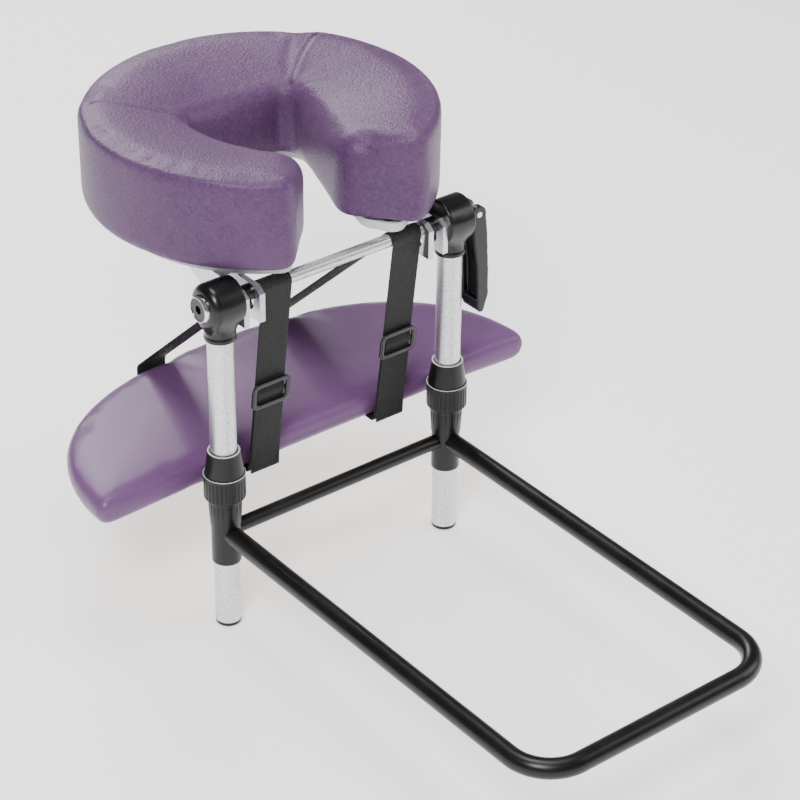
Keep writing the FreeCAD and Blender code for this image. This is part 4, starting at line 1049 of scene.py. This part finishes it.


# ------------------------------------------------------------------ heads, lever and painted highlight rims

# Each head's outer face beyond its post's axis, and the round of that face.
HEAD_ENDS = {"left": (19 * MM, 8.5 * MM), "right": (14.3 * MM, 2.0 * MM)}
INNER_ROUND = 1.8 * MM
NECK_LENGTH = 37 * MM             # from the tilt axis to the neck's foot
FOOT_ROUND = 1.2 * MM
HEAD_BLEND = 13 * MM
# Sizes of the painted highlights: thin pale rings on each lock nut where its edges catch the light.
HIGHLIGHT_MOUTH_R = 14.7 * MM           # the two pale rims of a lock nut
HIGHLIGHT_EDGE_R = 20.0 * MM
HIGHLIGHT_EDGE_DROP = 25.1 * MM


def copy_node(name, label):
    """A free copy of a drawn node's skin, in the shared frame."""
    node = NODES[name]
    mesh = node.data.copy()
    mesh.transform(node.matrix_world)
    piece = bpy.data.objects.new(label, mesh)
    bpy.context.scene.collection.objects.link(piece)
    return tidy(piece)


def rounded_cylinder(across, along, bend):
    """How far points are outside a cylinder whose edge is rounded by bend.

    across and along are the distances beyond its side and its end, plus bend.
    """
    return (np.hypot(np.maximum(across, 0), np.maximum(along, 0))
            + np.minimum(np.maximum(across, along), 0) - bend)


def head_field(points, side, outer, soft):
    """How far points are outside a head: a barrel and a neck run smoothly together.

    field = min(a, b) - h^2 k / 4, with h = max(k - |a - b|, 0) / k.
    """
    x = side * (points[:, 0] - side * POST_X)
    y = points[:, 1]
    z = points[:, 2] - BAR_Z
    middle, half = (outer - HEAD_INNER) / 2, (outer + HEAD_INNER) / 2
    bend = np.where(x > middle, soft, INNER_ROUND)
    barrel = rounded_cylinder(np.hypot(y, z) - (HEAD_R - bend),
                              np.abs(x - middle) - (half - bend), bend)
    lip = smoothstep(31.5 * MM, 33.0 * MM, -z)
    wall = NECK_R + 0.6 * MM * smoothstep(22 * MM, 32 * MM, -z) + 0.9 * MM * lip
    neck = rounded_cylinder(np.hypot(x, y) - (wall - FOOT_ROUND),
                            np.maximum(z, -z - (NECK_LENGTH - FOOT_ROUND)), FOOT_ROUND)
    share = np.maximum(HEAD_BLEND - np.abs(barrel - neck), 0) / HEAD_BLEND
    return np.minimum(barrel, neck) - share ** 2 * HEAD_BLEND / 4


def field_slope(points, field):
    """The direction in which a field grows, by small differences."""
    small = 0.05 * MM
    slope = np.zeros_like(points)
    for axis in range(3):
        shift = np.zeros(3)
        shift[axis] = small
        slope[:, axis] = (field(points + shift) - field(points - shift)) / (2 * small)
    return slope / np.maximum(np.linalg.norm(slope, axis=1, keepdims=True), 1e-9)


def make_head(name, side):
    """A moulded elbow: the drawn head with its outside eased on to a smooth field."""
    outer, soft = HEAD_ENDS[name]
    piece = remesh(copy_node(name + "_head", name + "_head_shell"), 0.9 * MM, 1)
    points = get_points(piece.data)
    normals = get_normals(piece.data)

    def field(places):
        return head_field(places, side, outer, soft)

    facing = (field_slope(points, field) * normals).sum(1) > 0.25
    skin = facing & (np.abs(field(points)) < 5 * MM)
    for _ in range(4):
        step = field(points)[:, None] * field_slope(points, field)
        points = np.where(skin[:, None], points - step, points)
    set_points(piece.data, points)
    finish_piece(piece, HEAD_PLASTIC, "mast", (name + "_head",))


def make_lever():
    """The cam lever with all its edges moulded round."""
    piece = remesh(copy_node("cam_lever", "cam_lever_shell"), 0.8 * MM, 5)
    finish_piece(piece, HEAD_PLASTIC, "lever", ("cam_lever",))


def ring_piece(name, x, radius, level, section):
    """A ring round a post: a section carried round a level circle."""
    turn = np.linspace(0, 2 * math.pi, 97)[:-1]
    path = np.column_stack([x + radius * np.cos(turn), radius * np.sin(turn),
                            np.full(len(turn), level)])
    return sweep(name, path, section, closed=True, up=(0.0, 0.0, 1.0))


def make_painted_highlight_rims(name, side):
    """The painted highlights of a lock nut: pale rings round its mouth and along the foot of its
    cone, where its edges catch the light.
    """
    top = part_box(name + "_lock_nut")[1].z
    x = side * POST_X
    # Painted highlight: a pale ring on the nut's mouth edge.
    mouth = ring_piece(name + "_nut_mouth_highlight", x, HIGHLIGHT_MOUTH_R, top + 0.05 * MM,
                       rounded_bar(0.7 * MM, 1.9 * MM, 3.0, 16))
    finish_piece(mouth, PAINTED_HIGHLIGHT_RIM, name + "_nut")
    # Painted highlight: a pale ring along the foot of the nut's cone.
    edge = ring_piece(name + "_nut_edge_highlight", x, HIGHLIGHT_EDGE_R, top - HIGHLIGHT_EDGE_DROP,
                      rounded_bar(0.7 * MM, 0.8 * MM, 2.0, 12))
    finish_piece(edge, PAINTED_HIGHLIGHT_RIM, name + "_nut")


make_cushion()
make_shelf()
for label, way in SIDES:
    make_strap(label, way)
    make_buckle(label, way)
    make_painted_highlight_rims(label, way)
for label, way in SIDES:
    make_head(label, way)
make_lever()


# ------------------------------------------------------------------ studio

FLOOR_HALF = 6.0
SUBJECT = (0.0, 0.05, 0.2)        # where the lights point


def area_light(name, place, size, power):
    """A soft square light that looks at the subject."""
    lamp = bpy.data.lights.new(name, "AREA")
    lamp.shape = "SQUARE"
    lamp.size = size
    lamp.energy = power
    item = bpy.data.objects.new(name, lamp)
    bpy.context.scene.collection.objects.link(item)
    item.location = place
    item.rotation_euler = (Vector(SUBJECT) - Vector(place)).to_track_quat("-Z", "Y").to_euler()


def studio():
    """Pale floor, even sky and four soft lights."""
    level = CAD_BOX[0][2] - 0.5 * MM
    corners = [(x * FLOOR_HALF, y * FLOOR_HALF, level)
               for x, y in ((-1, -1), (1, -1), (1, 1), (-1, 1))]
    floor = mesh_piece("studio_floor", corners, [(0, 1, 2, 3)])
    paint, tree, shader = surface("studio_white", Roughness=0.9, Emission_Strength=0.75)
    tone = add(tree, "ShaderNodeTexNoise", {"Scale": 2.0})
    mixed = add(tree, "ShaderNodeMix", {"Factor": (tone, "Fac"), MIX_FROM: tint("#f4f4f4"),
                                        MIX_TO: tint("#f7f7f7")}, data_type="RGBA")
    drive(tree, shader, Base_Color=(mixed, MIX_OUT))
    floor.data.materials.append(paint)
    world = bpy.data.worlds.new("studio_sky")
    bpy.context.scene.world = world
    world.use_nodes = True
    sky = world.node_tree.nodes["Background"]
    sky.inputs["Color"].default_value = (1.0, 1.0, 1.0, 1.0)
    sky.inputs["Strength"].default_value = 0.22
    area_light("key_light", (-1.6, -1.3, 2.2), 0.9, 80.0)
    area_light("top_light", (0.1, 0.2, 2.7), 1.2, 42.0)
    area_light("fill_light", (1.9, -1.2, 1.3), 1.4, 24.0)
    area_light("back_light", (0.6, 2.2, 1.7), 1.2, 46.0)


def camera():
    """The camera: azimuth, elevation and roll about a target on the optical axis."""
    azimuth = math.radians(-38.58)
    elevation = math.radians(32.10)
    roll = math.radians(0.71)
    distance = 2.4
    target = Vector((-9.2 * MM, -106.3 * MM, 161.7 * MM))
    back = Vector((math.sin(azimuth) * math.cos(elevation),
                   -math.cos(azimuth) * math.cos(elevation), math.sin(elevation)))
    right = Vector((math.cos(azimuth), math.sin(azimuth), 0.0))
    up = back.cross(right)
    level = Matrix((right, up, back)).transposed()
    lens = bpy.data.cameras.new("camera")
    lens.sensor_width = 36.0
    lens.lens = 117.0
    lens.clip_end = 50.0
    item = bpy.data.objects.new("camera", lens)
    bpy.context.scene.collection.objects.link(item)
    turned = level @ Matrix.Rotation(roll, 3, "Z")
    item.matrix_world = Matrix.Translation(target + back * distance) @ turned.to_4x4()
    bpy.context.scene.camera = item


studio()
camera()
